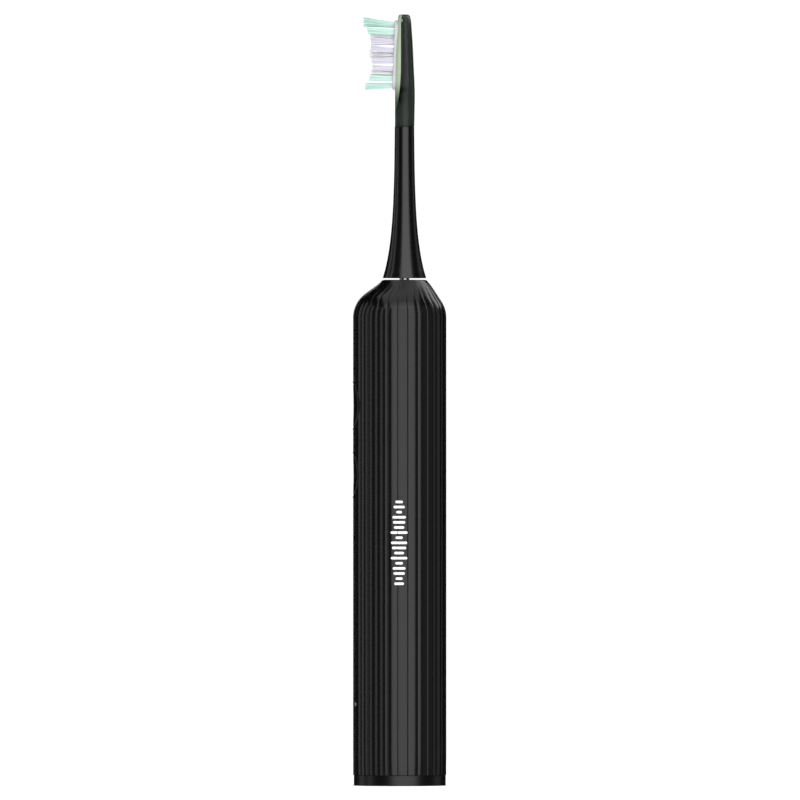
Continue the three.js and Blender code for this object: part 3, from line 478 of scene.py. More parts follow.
def handle_inside():
    """(radius, height) points over the neck's rim, down its bore and down the inside of the wall."""
    rim = 0.25
    over_rim = [
        (NECK_RADIUS - 0.08, HANDLE_TOP - 0.03), (NECK_RADIUS - rim, HANDLE_TOP),
        (NECK_BORE + rim, HANDLE_TOP), (NECK_BORE, HANDLE_TOP - rim),
    ]
    ceiling = [
        (NECK_BORE, 0), (NECK_BORE + 1.5, 0), (NECK_BORE + 2.6, 0.7), (WALL_RADIUS - 2.6, 2.4),
        (WALL_RADIUS - 1.1, 4.2), (WALL_RADIUS - 0.3, 6.2), (WALL_RADIUS, 8.2),
    ]
    down_wall = [(radius, CEILING_Z - drop) for radius, drop in ceiling]
    return over_rim + down_wall + [(WALL_RADIUS, HANDLE_BOTTOM)]


def handle_rings():
    """The ribbed outside from the foot to the neck, then the plain inside down to the foot again."""
    angles = rib_columns()
    spacing = 6.0
    rings = []
    for inset, rise in ((0.1, 0.0), (0.03, 0.03), (0.0, 0.1)):
        rings.append(handle_ring(angles, CREST_RADIUS - inset, HANDLE_BOTTOM + rise, 1, 0))
    for z in np.arange(10, SHOULDER_Z - 1, spacing):
        rings.append(handle_ring(angles, CREST_RADIUS, z, 1, 0))
    for t in np.linspace(0, 0.985, 44):
        radius, z = shoulder_point(t)
        lean = (CREST_RADIUS - radius) / (CREST_RADIUS - NECK_RADIUS)
        rib_depth = 1 - smoothstep(lean, SHOULDER_LEAN, 1.1)
        rings.append(handle_ring(angles, radius, z, rib_depth, lean))
    for radius, z in handle_inside():
        lean = smoothstep(z, SHOULDER_Z, HANDLE_TOP)
        rings.append(handle_ring(angles, radius, z, 0, lean))
    return rings


def front_cutter(radius, y, z, flare, segments):
    """A round cutter along X through the front wall, with a flared mouth that leaves a chamfered rim."""
    face = math.sqrt(CREST_RADIUS ** 2 - y ** 2)
    clear, behind_wall = 2.0, -9.0
    stations = [
        (-CREST_RADIUS - clear, radius + flare + clear, False), (-face, radius + flare, True),
        (-face + flare, radius, True), (behind_wall, radius, False),
    ]
    # Half a step round, so that no corner of the cutter meets the handle's front column of points.
    turn = (np.arange(segments) + 0.5) * TURN / segments
    rings = []
    for x, reach, follows_wall in stations:
        across = y + reach * np.cos(turn)
        drop = (np.sqrt(CREST_RADIUS ** 2 - across ** 2) - face) * follows_wall
        rings.append(np.stack([x - drop, across, z + reach * np.sin(turn)], axis=1))
    return loft(rings)


def button_radius(node):
    """The radius of a round button's face."""
    low, high = extent(node)
    return (high[2] - low[2]) / 2


def handle_shell():
    """The fluted handle, with its windows for the buttons and the battery lights."""
    shell = piece("fluted_handle", *loft(handle_rings(), closed=True), MATERIALS["shell"])
    light_gap, lights_z = 0.1, middle_z("battery_light_guide")
    cutters = []
    for node in ("power_button", "mode_button"):
        cutters.append(front_cutter(button_radius(node) + BUTTON_GAP, 0, middle_z(node), 0.14, 128))
    for y in LIGHT_PLACES:
        cutters.append(front_cutter(LIGHT_RADIUS + light_gap, y, lights_z, 0.08, 40))
    carve(shell, joined(cutters))
    settle(shell, "handle", ["handle_shell"])


def button_bezel(node):
    """A thin raised rim round a button's window, which follows the handle's curve."""
    half_width, half_height, sink = 0.32, 0.28, 0.17
    radius = button_radius(node) + BUTTON_GAP + 0.36
    segments = 144
    turn = np.arange(segments) * TURN / segments
    rings = []
    for side in np.linspace(0, TURN, 16, endpoint=False):
        reach = radius + half_width * np.cos(side)
        lift = half_height * math.sin(side) - sink
        y = reach * np.cos(turn)
        x = -np.sqrt(CREST_RADIUS ** 2 - y ** 2) - lift
        rings.append(np.stack([x, y, middle_z(node) + reach * np.sin(turn)], axis=1))
    bezel = piece(f"{node}_bezel", *loft(rings, closed=True), MATERIALS["shell"])
    settle(bezel, "handle")


def button_dish(node, reach):
    """How far a button's face lies below its edge, at a distance from its middle."""
    return BUTTON_DISH * (1 - smoothstep(reach / button_radius(node), 0, BUTTON_DISH_SHARE))


def button_cap(node):
    """A button cap that carries on the handle's curve, with a soft edge and a shallow dish."""
    radius = button_radius(node)
    segments = 128
    turn = np.arange(segments) * TURN / segments
    centre_share = 0.02
    rings = []

    def add_ring(reach, depth):
        y = reach * np.cos(turn)
        x = -np.sqrt(BUTTON_FACE_RADIUS ** 2 - y ** 2) + depth
        rings.append(np.stack([x, y, middle_z(node) + reach * np.sin(turn)], axis=1))

    for share in np.linspace(centre_share, BUTTON_DISH_SHARE, 22):
        add_ring(radius * share, button_dish(node, radius * share))
    for angle in np.linspace(0, math.pi / 2, 7):
        add_ring(radius - BUTTON_EDGE + BUTTON_EDGE * math.sin(angle), BUTTON_EDGE * (1 - math.cos(angle)))
    add_ring(radius, BUTTON_FACE_RADIUS - BUTTON_BACK_RADIUS)
    add_ring(radius * centre_share, BUTTON_FACE_RADIUS - BUTTON_BACK_RADIUS)
    cap = piece(f"{node}_cap", *loft(rings), MATERIALS["button"])
    settle(cap, node, [node])


def light_window():
    """The milky light guide: a bar behind the wall, and three round pins whose domed ends show."""
    low, high = extent("battery_light_guide")
    z = middle_z("battery_light_guide")
    back = high[0]
    bar_depth, half, segments = 0.7, 0.7, 32
    bar = rounded([(low[1], z - half), (high[1], z - half), (high[1], z + half), (low[1], z + half)], 0.3)
    outline = np.array(bar)
    rings = [np.column_stack([np.full(len(outline), x), outline]) for x in (back, back - bar_depth)]
    parts = [loft(rings)]
    turn = np.arange(segments) * TURN / segments
    for y in LIGHT_PLACES:
        face = math.sqrt((CREST_RADIUS - 0.02) ** 2 - y ** 2)
        dome = [(0.12, 1.0), (0.04, 0.92), (-0.03, 0.6), (-0.05, 0.15)]
        stations = [(back - 0.2, 1.0)] + [(depth - face, share) for depth, share in dome]
        pin = []
        for x, share in stations:
            reach = LIGHT_RADIUS * share
            around = [y + reach * np.cos(turn), z + reach * np.sin(turn)]
            pin.append(np.stack([np.full(segments, x)] + around, axis=1))
        parts.append(loft(pin))
    window = piece("battery_lights", *joined(parts), MATERIALS["clear"])
    settle(window, "handle", ["battery_light_guide"])


def ribbon(path, width, place):
    """A printed line: a thin solid along a path of (across, up) points with round ends, on a surface."""
    path = np.array(path, float)
    along = np.gradient(path, axis=0)
    along /= np.linalg.norm(along, axis=1)[:, None]
    side = np.stack([-along[:, 1], along[:, 0]], axis=1)
    travelled = np.concatenate([[0], np.cumsum(np.linalg.norm(np.diff(path, axis=0), axis=1))])
    to_end = np.minimum(travelled, travelled[-1] - travelled)
    round_off = np.clip(1 - to_end / (width / 2), 0, 0.995)
    half = width / 2 * np.sqrt(1 - round_off ** 2)
    left, right = path + side * half[:, None], path - side * half[:, None]
    rings = []
    for a, b in zip(left, right):
        above = [place(a, PRINT_LIFT), place(b, PRINT_LIFT)]
        below = [place(b, -PRINT_LIFT), place(a, -PRINT_LIFT)]
        rings.append(above + below)
    return loft(rings)


def on_handle_side(point, lift):
    """A point on the ribs of the side that faces -Y, from (across, up) and a lift off the skin."""
    angle = math.pi / 2 - point[0] / CREST_RADIUS
    reach = CREST_RADIUS - rib_inset(angle) + lift
    return (-reach * math.cos(angle), -reach * math.sin(angle), point[1])


def wave_mark():
    """Printed bars up the handle's side. They are shorter at both ends, and their lengths vary in between."""
    bars = 17
    bottom, top, centre = 60.4, 84.8, 0.2
    thickness, shortest, longer = 0.75, 0.75, 1.9
    round_end = np.linspace(0, 0.36, 7)
    parts = []
    for i in range(bars):
        share = i / (bars - 1)
        z = bottom + (top - bottom) * share
        swell = math.sin(math.pi * (0.12 + 0.76 * share))
        half = shortest + longer * swell * abs(math.cos(1.9 * i))
        straight = np.linspace(-half + 0.4, half - 0.4, 17)
        across = np.concatenate([round_end - half, straight, half - round_end[::-1]]) + centre
        path = [(x, z) for x in across]
        parts.append(ribbon(path, thickness, on_handle_side))
    mark = piece("printed_wave_mark", *joined(parts), PRINT, sharp=60)
    settle(mark, "handle")


def button_symbol(node, paths, width):
    """A small printed symbol in the middle of a button."""
    centre = middle_z(node)

    def on_face(point, lift):
        dish = button_dish(node, math.hypot(point[0], point[1] - centre))
        return (-math.sqrt(BUTTON_FACE_RADIUS ** 2 - point[0] ** 2) + dish - lift, point[0], point[1])

    parts = [ribbon([(y, centre + z) for y, z in path], width, on_face) for path in paths]
    symbol = piece(f"{node}_symbol", *joined(parts), SYMBOL, sharp=60)
    settle(symbol, node)


def button_symbols():
    """An open ring with a stroke on the power button, and a wave of two periods on the mode button."""
    line = 0.3
    radius, gap = 1.45, 0.75
    turn = np.linspace(gap, TURN - gap, 60)
    ring = np.stack([radius * np.sin(turn), radius * np.cos(turn)], axis=1)
    stroke = [(0, z) for z in np.linspace(0.35, 1.85, 16)]
    button_symbol("power_button", [ring, stroke], line)
    period, height = 1.6, 0.55
    across = np.linspace(-period, period, 60)
    wave = np.stack([across, height * np.sin(across * TURN / period)], axis=1)
    button_symbol("mode_button", [wave], line)


def base_cap():
    """The end cap, with the charging socket in its underside and the seal's groove in its skirt."""
    high = extent("base_cap")[1]
    radius = high[0]
    socket, socket_depth, lead_in = 4.8, 11.0, 0.5
    underside = [
        (0, socket_depth), (socket, socket_depth), (socket, lead_in), (socket + lead_in, 0), (radius, 0),
    ]
    flange = HANDLE_BOTTOM - 0.03
    skirt, skirt_top, groove, groove_half = 11.7, 9.0, 10.66, 0.67
    groove_low, groove_high = (middle_z("base_seal_ring") + side * groove_half for side in (-1, 1))
    outside = [
        (radius, flange), (skirt, flange), (skirt, groove_low), (groove, groove_low), (groove, groove_high),
        (skirt, groove_high), (skirt, skirt_top),
    ]
    skirt_inside, floor_z, post = 9.7, 3.0, 6.0
    inside = [
        (skirt_inside, skirt_top), (skirt_inside, floor_z), (post, floor_z), (post, high[2]), (0, high[2]),
    ]
    outline = rounded(underside + outside + inside, 0.14, 6)
    cap = turned("end_cap", outline, MATERIALS["cap"], 192)
    settle(cap, "handle", ["base_cap"])


def seal_ring():
    """The rubber ring in the groove of the end cap's skirt."""
    low, high = extent("base_seal_ring")
    z = middle_z("base_seal_ring")
    section = (high[2] - low[2]) / 2
    centre = high[0] - section
    outline = []
    for angle in np.linspace(0, TURN, 20, endpoint=False):
        outline.append((centre + section * math.cos(angle), z + section * math.sin(angle)))
    ring = turned("end_cap_seal", outline, MATERIALS["rubber"])
    settle(ring, "handle", ["base_seal_ring"])


# ---------------------------------------------------------------- drive

def drive_shaft():
    """The ground steel shaft, with the flat that keys the brush head."""
    low, high = extent("drive_shaft")
    bottom, top = low[2], high[2]
    flat_z = top - SHAFT_FLAT_LENGTH
    centre, chamfer, rounding = 0.02, 0.35, 0.4
    stations = [
        (centre, bottom), (SHAFT_RADIUS - chamfer, bottom), (SHAFT_RADIUS, bottom + chamfer),
        (SHAFT_RADIUS, flat_z - 0.3), (SHAFT_RADIUS, flat_z), (SHAFT_RADIUS, flat_z + 0.01),
        (SHAFT_RADIUS, top - rounding), (SHAFT_RADIUS - 0.12, top - 0.12), (SHAFT_RADIUS - rounding, top),
        (centre, top),
    ]
    rings = []
    for radius, z in stations:
        ring = circle(radius, z, 96, DRIVE_X)
        if z > flat_z:
            ring[:, 0] = np.maximum(ring[:, 0], DRIVE_X - SHAFT_RADIUS + SHAFT_FLAT)
        rings.append(ring)
    shaft = piece("ground_drive_shaft", *loft(rings), MATERIALS["steel"])
    settle(shaft, "drive_rotor", ["drive_shaft"])


def shaft_seal():
    """The rubber seal round the shaft: a flange, a plug in the neck's bore and a thin wiping lip."""
    low, high = extent("shaft_seal")
    inner, outer = SHAFT_RADIUS + 0.05, NECK_BORE - 0.06
    bottom, top = low[2], high[2]
    flange, flange_top = outer + 1.1, bottom + 0.8
    trough, lip_top = top - 0.7, top - 0.1
    outline = [
        (inner, bottom), (flange, bottom), (flange, flange_top), (outer, flange_top), (outer, top),
        (outer - 0.9, top), (outer - 1.5, trough), (inner + 0.7, trough), (inner + 0.3, lip_top),
        (inner, lip_top),
    ]
    seal = turned("shaft_wiper_seal", rounded(outline, 0.18), MATERIALS["rubber"], x=DRIVE_X)
    settle(seal, "handle", ["shaft_seal"])


# ---------------------------------------------------------------- brush head

def sleeve_radius(z):
    """The neck sleeve's outside: a wide foot that flares out below a slim neck."""
    return SLEEVE_NECK + (SLEEVE_FOOT - SLEEVE_NECK) * math.exp(-(z - SLEEVE_BOTTOM) / SLEEVE_FLARE)


def neck_sleeve():
    """The flared black sleeve over the shaft, with a rounded foot and rim."""
    heights = SLEEVE_BOTTOM + (SLEEVE_TOP - SLEEVE_BOTTOM) * np.linspace(0, 1, 40)
    rounding = 0.14
    foot = [(SLEEVE_FOOT - rounding, SLEEVE_BOTTOM), (SLEEVE_FOOT - 0.04, SLEEVE_BOTTOM + 0.04)]
    foot += [(sleeve_radius(SLEEVE_BOTTOM + rounding), SLEEVE_BOTTOM + rounding)]
    outside = [(sleeve_radius(z), z) for z in heights[2:-1]]
    rim = [(SLEEVE_NECK + 0.07, SLEEVE_TOP - 0.1), (SLEEVE_NECK - 0.02, SLEEVE_TOP)]
    inside = [(sleeve_radius(z) - SLEEVE_WALL, z) for z in heights[::-3]]
    inside += [(SLEEVE_FOOT - SLEEVE_WALL - 0.1, SLEEVE_BOTTOM)]
    sleeve = turned("flared_neck_sleeve", foot + outside + rim + inside, MATERIALS["sleeve"], x=DRIVE_X)
    settle(sleeve, "brush_head", ["neck_sleeve"])


# Sections of the head above the neck sleeve: height, half width, then front and back from the drive axis.
HEAD_SECTIONS = np.array([
    (0, 2.9, -2.84, 2.95), (5, 3.05, -2.83, 3.05), (9.5, 4.3, -2.84, 3.13), (13.5, 5.5, -2.84, 3.05),
    (18, 5.85, -2.74, 2.83), (24, 5.85, -2.48, 2.57), (28.6, 5.5, -2.14, 2.27), (31.4, 4.6, -1.98, 2.04),
    (33, 3.1, -1.8, 1.68), (33.5, 1.9, -1.5, 1.15),
])
# How much squarer than an ellipse the head's sections are, in front and behind.
HEAD_FRONT_SQUARENESS = 5.0
HEAD_BACK_SQUARENESS = 0.8


def head_section(t):
    """A section's values at t sections along, on a smooth curve through all of them."""
    last = len(HEAD_SECTIONS) - 1
    at = min(int(t), last - 1)
    p0, p1, p2, p3 = (HEAD_SECTIONS[min(max(at + k, 0), last)] for k in (-1, 0, 1, 2))
    s = t - at
    slopes = (p2 - p0) / 2, (p3 - p1) / 2
    cube, square = s ** 3, s ** 2
    return ((2 * cube - 3 * square + 1) * p1 + (cube - 2 * square + s) * slopes[0]
            + (3 * square - 2 * cube) * p2 + (cube - square) * slopes[1])


def head_rings():
    """The head's skin: round at the neck sleeve, squarer above the stem, and closed by a flat top."""
    steps, around = 72, 96
    square_from, square_full = 4, 14
    angles = np.arange(around) * TURN / around
    cos, sin = np.cos(angles), np.sin(angles)
    squareness = np.where(cos > 0, HEAD_FRONT_SQUARENESS, HEAD_BACK_SQUARENESS)
    rings = []
    for t in np.linspace(0, len(HEAD_SECTIONS) - 1, steps + 1):
        height, half, front, back = head_section(t)
        power = 2 / (2 + squareness * smoothstep(height, square_from, square_full))
        across = np.sign(cos) * np.abs(cos) ** power
        wide = np.sign(sin) * np.abs(sin) ** power
        x = DRIVE_X + (front + back) / 2 - (back - front) / 2 * across
        rings.append(np.stack([x, -half * wide, np.full(around, SLEEVE_TOP + height)], axis=1))
    top = rings[-1]
    centre = top.mean(axis=0)
    for share in (0.85, 0.55, 0.2):
        rings.append(centre + (top - centre) * share)
    return rings


def parting_block(shift, front):
    """Everything in front of the head's parting surface, or behind it, as a block across the head."""
    line = DRIVE_X + PARTING_X + shift
    low = DRIVE_X - 3.15 + shift
    top, bend_top, bend_middle, bend_foot = 40, 18, 9, 2.5
    far, half_width = 9, 15
    curve = [(line, SLEEVE_TOP + top), (line, SLEEVE_TOP + bend_top)]
    for t in np.linspace(0.1, 1, 12):
        x = (1 - t) ** 2 * line + 2 * t * (1 - t) * line + t ** 2 * low
        height = (1 - t) ** 2 * bend_top + 2 * t * (1 - t) * bend_middle + t ** 2 * bend_foot
        curve.append((x, SLEEVE_TOP + height))
    side = DRIVE_X - far if front else DRIVE_X + far
    foot = SLEEVE_TOP + bend_foot if front else SLEEVE_TOP - 2
    corners = [(side, foot), (side, SLEEVE_TOP + top)]
    if not front:
        corners = [(low, foot)] + corners
    x, z = np.array(curve + corners).T
    rings = [np.stack([x, np.full(len(x), y), z], axis=1) for y in (-half_width, half_width)]
    return loft(rings)


def plate_outline(margin, steps=14):
    """The bristle plate's rounded outline, grown by a margin, as (across, up) points."""
    radius = PLATE_CORNER + margin
    y, z = PLATE_HALF_WIDTH - PLATE_CORNER, PLATE_HALF_LENGTH - PLATE_CORNER
    points = []
    for i, (cy, cz) in enumerate([(y, z), (-y, z), (-y, -z), (y, -z)]):
        for angle in np.linspace(i * math.pi / 2, (i + 1) * math.pi / 2, steps):
            points.append((cy + radius * math.cos(angle), cz + radius * math.sin(angle)))
    return np.array(points)


def on_plate(points):
    """Moves points from the plate's own frame, with its front at x = 0, to the head."""
    points = np.asarray(points, float)
    x, y, z = points[..., 0], points[..., 1], points[..., 2]
    cos, sin = math.cos(PLATE_TILT), math.sin(PLATE_TILT)
    return np.stack([DRIVE_X + PLATE_X + x * cos + z * sin, y, PLATE_Z - x * sin + z * cos], axis=-1)


def plate_layer(x, margin):
    """The plate's outline, grown by a margin, at a depth behind the plate's front."""
    outline = plate_outline(margin)
    return on_plate(np.column_stack([np.full(len(outline), x), outline]))


def recess():
    """The room in the head for the bristle plate and the roots behind it."""
    gap, ahead, behind = 0.05, 2.5, 1.1
    return loft([plate_layer(x, gap) for x in (-ahead, PLATE_THICKNESS + behind)])


def head_frame():
    """The pale green front half of the head, round the bristle plate."""
    rim = piece("pale_front_frame", *loft(head_rings()), MATERIALS["rim"])
    carve(rim, parting_block(0, True), "INTERSECT")
    carve(rim, recess())
    settle(rim, "brush_head", ["head_front_frame"])


def head_body():
    """The smoke tinted back of the head and its stem."""
    body = piece("smoke_head", *loft(head_rings()), MATERIALS["smoke"])
    carve(body, parting_block(0.01, False), "INTERSECT")
    carve(body, recess())
    settle(body, "brush_head", ["head_stem"])


# Sections of the dark core inside the smoke tinted head, in the same order as the head's.
CORE_SECTIONS = np.array([
    (-20, 1.6, -1.6, 1.6), (-0.5, 1.8, -1.7, 1.8), (0.1, 2.5, -2.5, 2.55), (5, 2.6, -2.35, 2.6),
    (9, 3.2, -1.9, 2.5), (12.5, 3.9, -1.3, 2.5), (18, 4.4, -0.98, 2.25), (24, 4.4, -0.98, 2.0),
    (29, 3.6, -0.98, 1.6), (31.6, 2.2, -0.98, 1.1), (32.2, 1.4, -0.8, 0.8),
])


def head_core():
    """The dark core inside the smoke tinted head, which carries on down the neck."""
    heights, *shapes = CORE_SECTIONS.T
    around, steps = 64, 70
    turn = np.arange(around) * TURN / around
    rings = []
    for height in np.linspace(heights[0], heights[-1], steps):
        half, front, back = (np.interp(height, heights, shape) for shape in shapes)
        x = DRIVE_X + (front + back) / 2 - (back - front) / 2 * np.cos(turn)
        rings.append(np.stack([x, -half * np.sin(turn), np.full(around, SLEEVE_TOP + height)], axis=1))
    core = piece("head_core", *loft(rings), CORE)
    settle(core, "brush_head", ["head_stem"])


# Tuft rows from the tip to the heel: CAD node, material slot, height on the plate, length, tufts across,
# half height, slant of the cut end, lean along the plate, and how much the filaments fan out along the plate.
TUFT_ROWS = [
    ("green_tufts_tip", "green_bristle", 9, 9.4, 3, 0.98, 0.05, 0.55, 1.65),
    ("green_tufts_tip", "green_bristle", 6.75, 8.1, 4, 0.95, 0.35, 0.25, 1.15),
    ("white_tufts_upper", "white_bristle", 5.35, 7.3, 3, 0.66, 0.2, 0.0, 2.0),
    ("lavender_tufts_upper", "lavender_bristle", 3.95, 6.95, 4, 0.92, 0.05, -0.1, 1.3),
    ("lavender_tufts_upper", "lavender_bristle", 1.37, 6.85, 4, 0.82, 0.0, 0.2, 1.35),
    ("white_tufts_middle", "white_bristle", -0.08, 7.3, 3, 0.66, 0.0, 0.0, 2.4),
    ("lavender_tufts_lower", "lavender_bristle", -1.72, 6.45, 4, 0.88, 0.0, -0.1, 1.3),
    ("lavender_tufts_lower", "lavender_bristle", -4.15, 6.2, 4, 0.88, 0.0, 0.1, 1.2),
    ("white_tufts_lower", "white_bristle", -5.58, 6.7, 3, 0.66, -0.1, 0.0, 1.5),
    ("green_tufts_heel", "green_bristle", -7.05, 6.9, 4, 0.82, -0.2, 0.0, 1.1),
    ("green_tufts_heel", "green_bristle", -9.22, 8.1, 3, 0.75, -0.05, -0.5, 1.5),
]


def tuft_columns(across):
    """Places of a row's tufts across the plate."""
    return (np.arange(across) - (across - 1) / 2) * TUFT_COLUMN


def tuft_half_width(half):
    """A tuft's half width: a little more than its half height, up to the widest hole's radius."""
    return min(TUFT_RADIUS, half + 0.1)


def tuft_lattice(half):
    """Places of a tuft's filaments, packed side by side in its oval hole."""
    reach, edge = 6, 0.06
    wide, high = tuft_half_width(half) - edge, half - edge
    places = []
    for j in range(-reach, reach + 1):
        for i in range(-reach, reach + 1):
            y = (i + 0.5 * (j % 2)) * FILAMENT_PITCH
            z = j * FILAMENT_PITCH * 0.866
            if (y / wide) ** 2 + (z / high) ** 2 <= 1:
                places.append((y, z))
    return np.array(places)


def filaments(row, random):
    """Points and faces of every filament in one row of tufts, in the plate's frame."""
    _, _, height, length, across, half, slant, lean, fan = row
    places = tuft_lattice(half)
    starts = np.concatenate([places + (y, 0) for y in tuft_columns(across)])
    local = np.tile(places, (across, 1))
    count = len(starts)
    bend = random.normal(0, 0.05, (count, 2))
    reach = length + slant * local[:, 1] - np.abs(random.normal(0, 0.09, count))
    # Stations along a filament, from its root behind the plate to its rounded end, with its girth at each.
    shares = np.array([-0.22, 0.0, 0.3, 0.6, 0.85, 0.985, 1.0])
    girths = np.array([1, 1, 1, 1, 1, 0.9, 0.45])
    sides = np.arange(5) * TURN / 5
    out = np.maximum(shares, 0)[None, :]
    x = np.where(shares[None, :] < 0, PLATE_THICKNESS + 0.3, -reach[:, None] * shares[None, :])
    y = starts[:, :1] * (1 + 0.03 * out) + local[:, :1] * 0.05 * out + bend[:, :1] * out ** 2
    z = starts[:, 1:] * (1 + (fan - 1) * out ** 1.5) + lean * out + bend[:, 1:] * out ** 2 + height
    girth = FILAMENT_RADIUS * girths
    rings = np.stack([
        np.broadcast_to(x[..., None], (count, len(shares), len(sides))),
        y[..., None] + girth[None, :, None] * np.cos(sides),
        z[..., None] + girth[None, :, None] * np.sin(sides),
    ], axis=-1)
    return joined([loft(one) for one in rings])


def tufts():
    """One piece for each CAD block of tufts, made of single filaments."""
    random = np.random.default_rng(7)
    for node in dict.fromkeys(row[0] for row in TUFT_ROWS):
        rows = [row for row in TUFT_ROWS if row[0] == node]
        points, faces = joined([filaments(row, random) for row in rows])
        block = piece(f"{node}_filaments", on_plate(points), faces, MATERIALS[rows[0][1]], sharp=50)
        settle(block, "brush_head", [node])


def bristle_plate():
    """The milky plate that holds the tufts, with a soft edge and a hole for each tuft."""
    back_edge = [(PLATE_THICKNESS, -0.1), (PLATE_THICKNESS - 0.1, 0)]
    front_edge = [(0.3, 0), (0.15, -0.05), (0.04, -0.17), (0, -0.32)]
    layers = [plate_layer(x, margin) for x, margin in back_edge + front_edge]
    plate = piece("bristle_plate_body", *loft(layers), MATERIALS["plate"])
    segments = 20
    turn = np.arange(segments) * TURN / segments
    holes = []
    for _, _, height, _, across, half, *_ in TUFT_ROWS:
        wide, high = tuft_half_width(half) + HOLE_GAP, half + HOLE_GAP
        for y in tuft_columns(across):
            ring = np.stack([y + wide * np.cos(turn), height + high * np.sin(turn)], axis=1)
            ends = [np.column_stack([np.full(segments, x), ring]) for x in (-1, PLATE_THICKNESS + 1)]
            holes.append(loft(on_plate(ends)))
    carve(plate, joined(holes))
    settle(plate, "brush_head", ["bristle_plate"])


# ---------------------------------------------------------------- carried-over CAD nodes

def finish_cad_nodes():
    """Gives every CAD node its slot's material."""
    for part in frame["record"]["subparts"]:
        data = frame["nodes"][part["node"]].data
        data.materials.clear()
        data.materials.append(MATERIALS[part["material_slot"]])


# ---------------------------------------------------------------- studio

LIGHT_AIM_Z = 0.12
BLACK_MOULDINGS = ["fluted_handle", "flared_neck_sleeve", "end_cap", "power_button_cap", "mode_button_cap"]
# Name, azimuth and elevation, distance, width and height, radiance, and the pieces that a light is kept on.
STUDIO_LIGHTS = [
    ("main_softbox", 12, 6, 1.2, (1.5, 1.9), 1.55, None),
    ("upper_softbox", 6, 52, 1.2, (1.5, 0.42), 1.2, None),
    ("top_softbox", 0, 86, 1.2, (1.5, 1.0), 0.8, None),
    ("left_strip", -46, 0, 1.2, (0.26, 1.8), 0.9, ["fluted_handle", "smoke_head", "head_core"]),
    ("left_side_strip", -80, 0, 1.2, (0.24, 1.8), 0.9, None),
    ("left_rear_strip", -110, 0, 1.2, (0.36, 1.8), 0.6, None),
    ("right_side_strip", 72, 0, 1.2, (0.7, 1.8), 0.18, ["fluted_handle"]),
    ("right_rear_strip", 108, 0, 1.2, (0.5, 1.8), 0.3, None),
    ("right_kicker", 131, 40, 1.2, (0.45, 0.95), 2.0, None),
    ("back_softbox", 180, 0, 1.2, (0.6, 1.8), 1.0, None),
    ("table_bounce", 0, -90, 1.0, (3.0, 3.0), 0.4, BLACK_MOULDINGS),
]


def camera():
    """A long lens level with the middle of the object, square to its side."""
    distance, view_width, side_step, height = 8.0, 0.23904, 0.065 * MM, 115.2 * MM
    lens = bpy.data.cameras.new("camera")
    lens.sensor_width = 36
    lens.lens = lens.sensor_width * distance / view_width
    lens.clip_end = 5 * distance
    made = bpy.data.objects.new("camera", lens)
    made.location = (side_step, -distance, height)
    made.rotation_euler = (math.pi / 2, 0, 0)
    bpy.context.scene.collection.objects.link(made)
    bpy.context.scene.camera = made


def softbox(name, azimuth, elevation, distance, size, radiance):
    """A soft light aimed at the object's middle. Angles are in degrees, and azimuth 0 is at the camera and
    positive to its right."""
    az, el = math.radians(azimuth), math.radians(elevation)
    light = bpy.data.lights.new(name, "AREA")
    light.shape = "RECTANGLE"
    light.size, light.size_y = size
    light.energy = radiance * math.pi * size[0] * size[1]
    made = bpy.data.objects.new(name, light)
    made.location = (
        distance * math.sin(az) * math.cos(el),
        -distance * math.cos(az) * math.cos(el),
        LIGHT_AIM_Z + distance * math.sin(el),
    )
    made.rotation_euler = (math.pi / 2 - el, 0, az)
    made.visible_camera = False
    bpy.context.scene.collection.objects.link(made)
    return made


def light_only(light, names):
    """Keeps a light on some of the pieces, as a flag or a narrow grid would on a real stand."""
    lit = bpy.data.collections.new(f"{light.name}_pieces")
    for name in names:
        lit.objects.link(bpy.data.objects[name])
    light.light_linking.receiver_collection = lit


def lights():
    """Makes every studio light, and keeps some of them on the pieces that they are meant for."""
    for *setup, names in STUDIO_LIGHTS:
        light = softbox(*setup)
        if names:
            light_only(light, names)


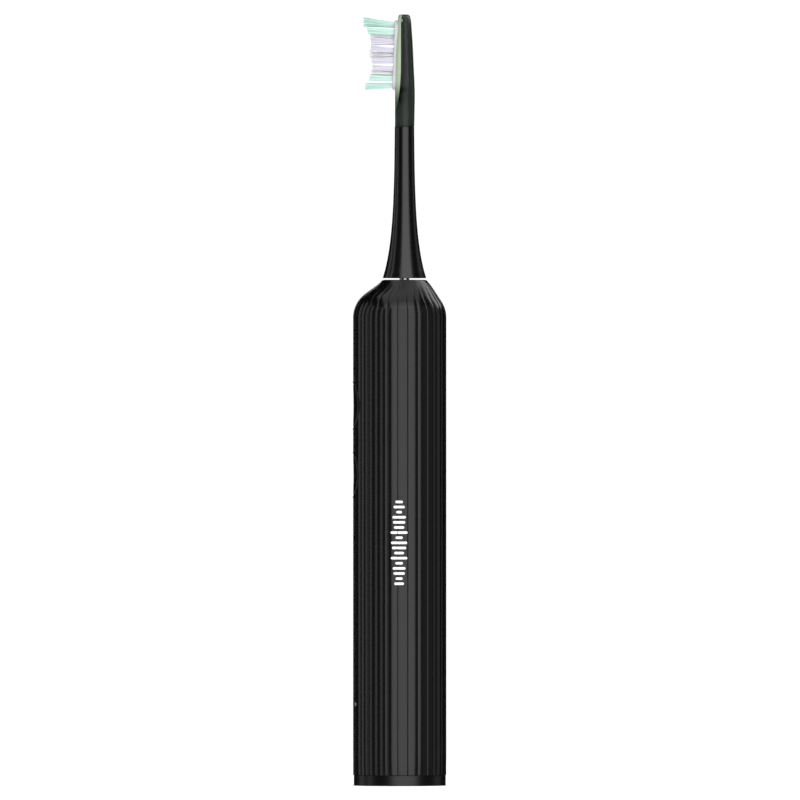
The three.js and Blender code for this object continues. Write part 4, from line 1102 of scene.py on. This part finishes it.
# What each kind of ray sees of the world: the camera's own first, and then the kinds that are told apart.
WORLD_LEVELS = [
    (None, 1.05), ("Is Diffuse Ray", 0.6), ("Is Glossy Ray", 0.004), ("Is Transmission Ray", 1.05),
]


def world():
    """White behind the object, soft light on matt surfaces, and a dark room in reflections."""
    made = bpy.data.worlds.new("studio")
    made.use_nodes = True
    made.cycles.sampling_method = "NONE"
    nodes, links = made.node_tree.nodes, made.node_tree.links
    nodes.clear()
    rays, output = nodes.new("ShaderNodeLightPath"), nodes.new("ShaderNodeOutputWorld")
    seen = None
    for sight, level in WORLD_LEVELS:
        background = nodes.new("ShaderNodeBackground")
        background.inputs["Color"].default_value = (level, level, level, 1)
        if sight is None:
            seen = background.outputs["Background"]
            continue
        mix = nodes.new("ShaderNodeMixShader")
        links.new(rays.outputs[sight], mix.inputs["Fac"])
        links.new(seen, mix.inputs[1])
        links.new(background.outputs["Background"], mix.inputs[2])
        seen = mix.outputs["Shader"]
    links.new(seen, output.inputs["Surface"])
    bpy.context.scene.world = made


def floor():
    """A pale round table top that doesn't mirror in the handle."""
    material, nodes, links, shader = new_material("pale_floor")
    shade = tint(nodes, links, noise(nodes, links, 3, 2), (0.86, 0.86, 0.86), (0.9, 0.9, 0.9))
    links.new(shade, shader.inputs["Base Color"])
    shader.inputs["Roughness"].default_value = 0.9
    shader.inputs["Emission Color"].default_value = (1, 1, 1, 1)
    shader.inputs["Emission Strength"].default_value = 0.3
    radius, thickness, hole = 600, 4, 1
    outline = [(hole, 0), (radius, 0), (radius, -thickness), (hole, -thickness)]
    disc = turned("studio_floor", outline, material)
    disc.visible_glossy = False
    disc.visible_shadow = False


camera()
world()
floor()
finish_cad_nodes()
handle_shell()
for button in ("power_button", "mode_button"):
    button_bezel(button)
    button_cap(button)
button_symbols()
light_window()
wave_mark()
base_cap()
seal_ring()
drive_shaft()
shaft_seal()
neck_sleeve()
head_body()
head_core()
head_frame()
bristle_plate()
tufts()
lights()
bpy.context.scene.view_settings.view_transform = "Standard"
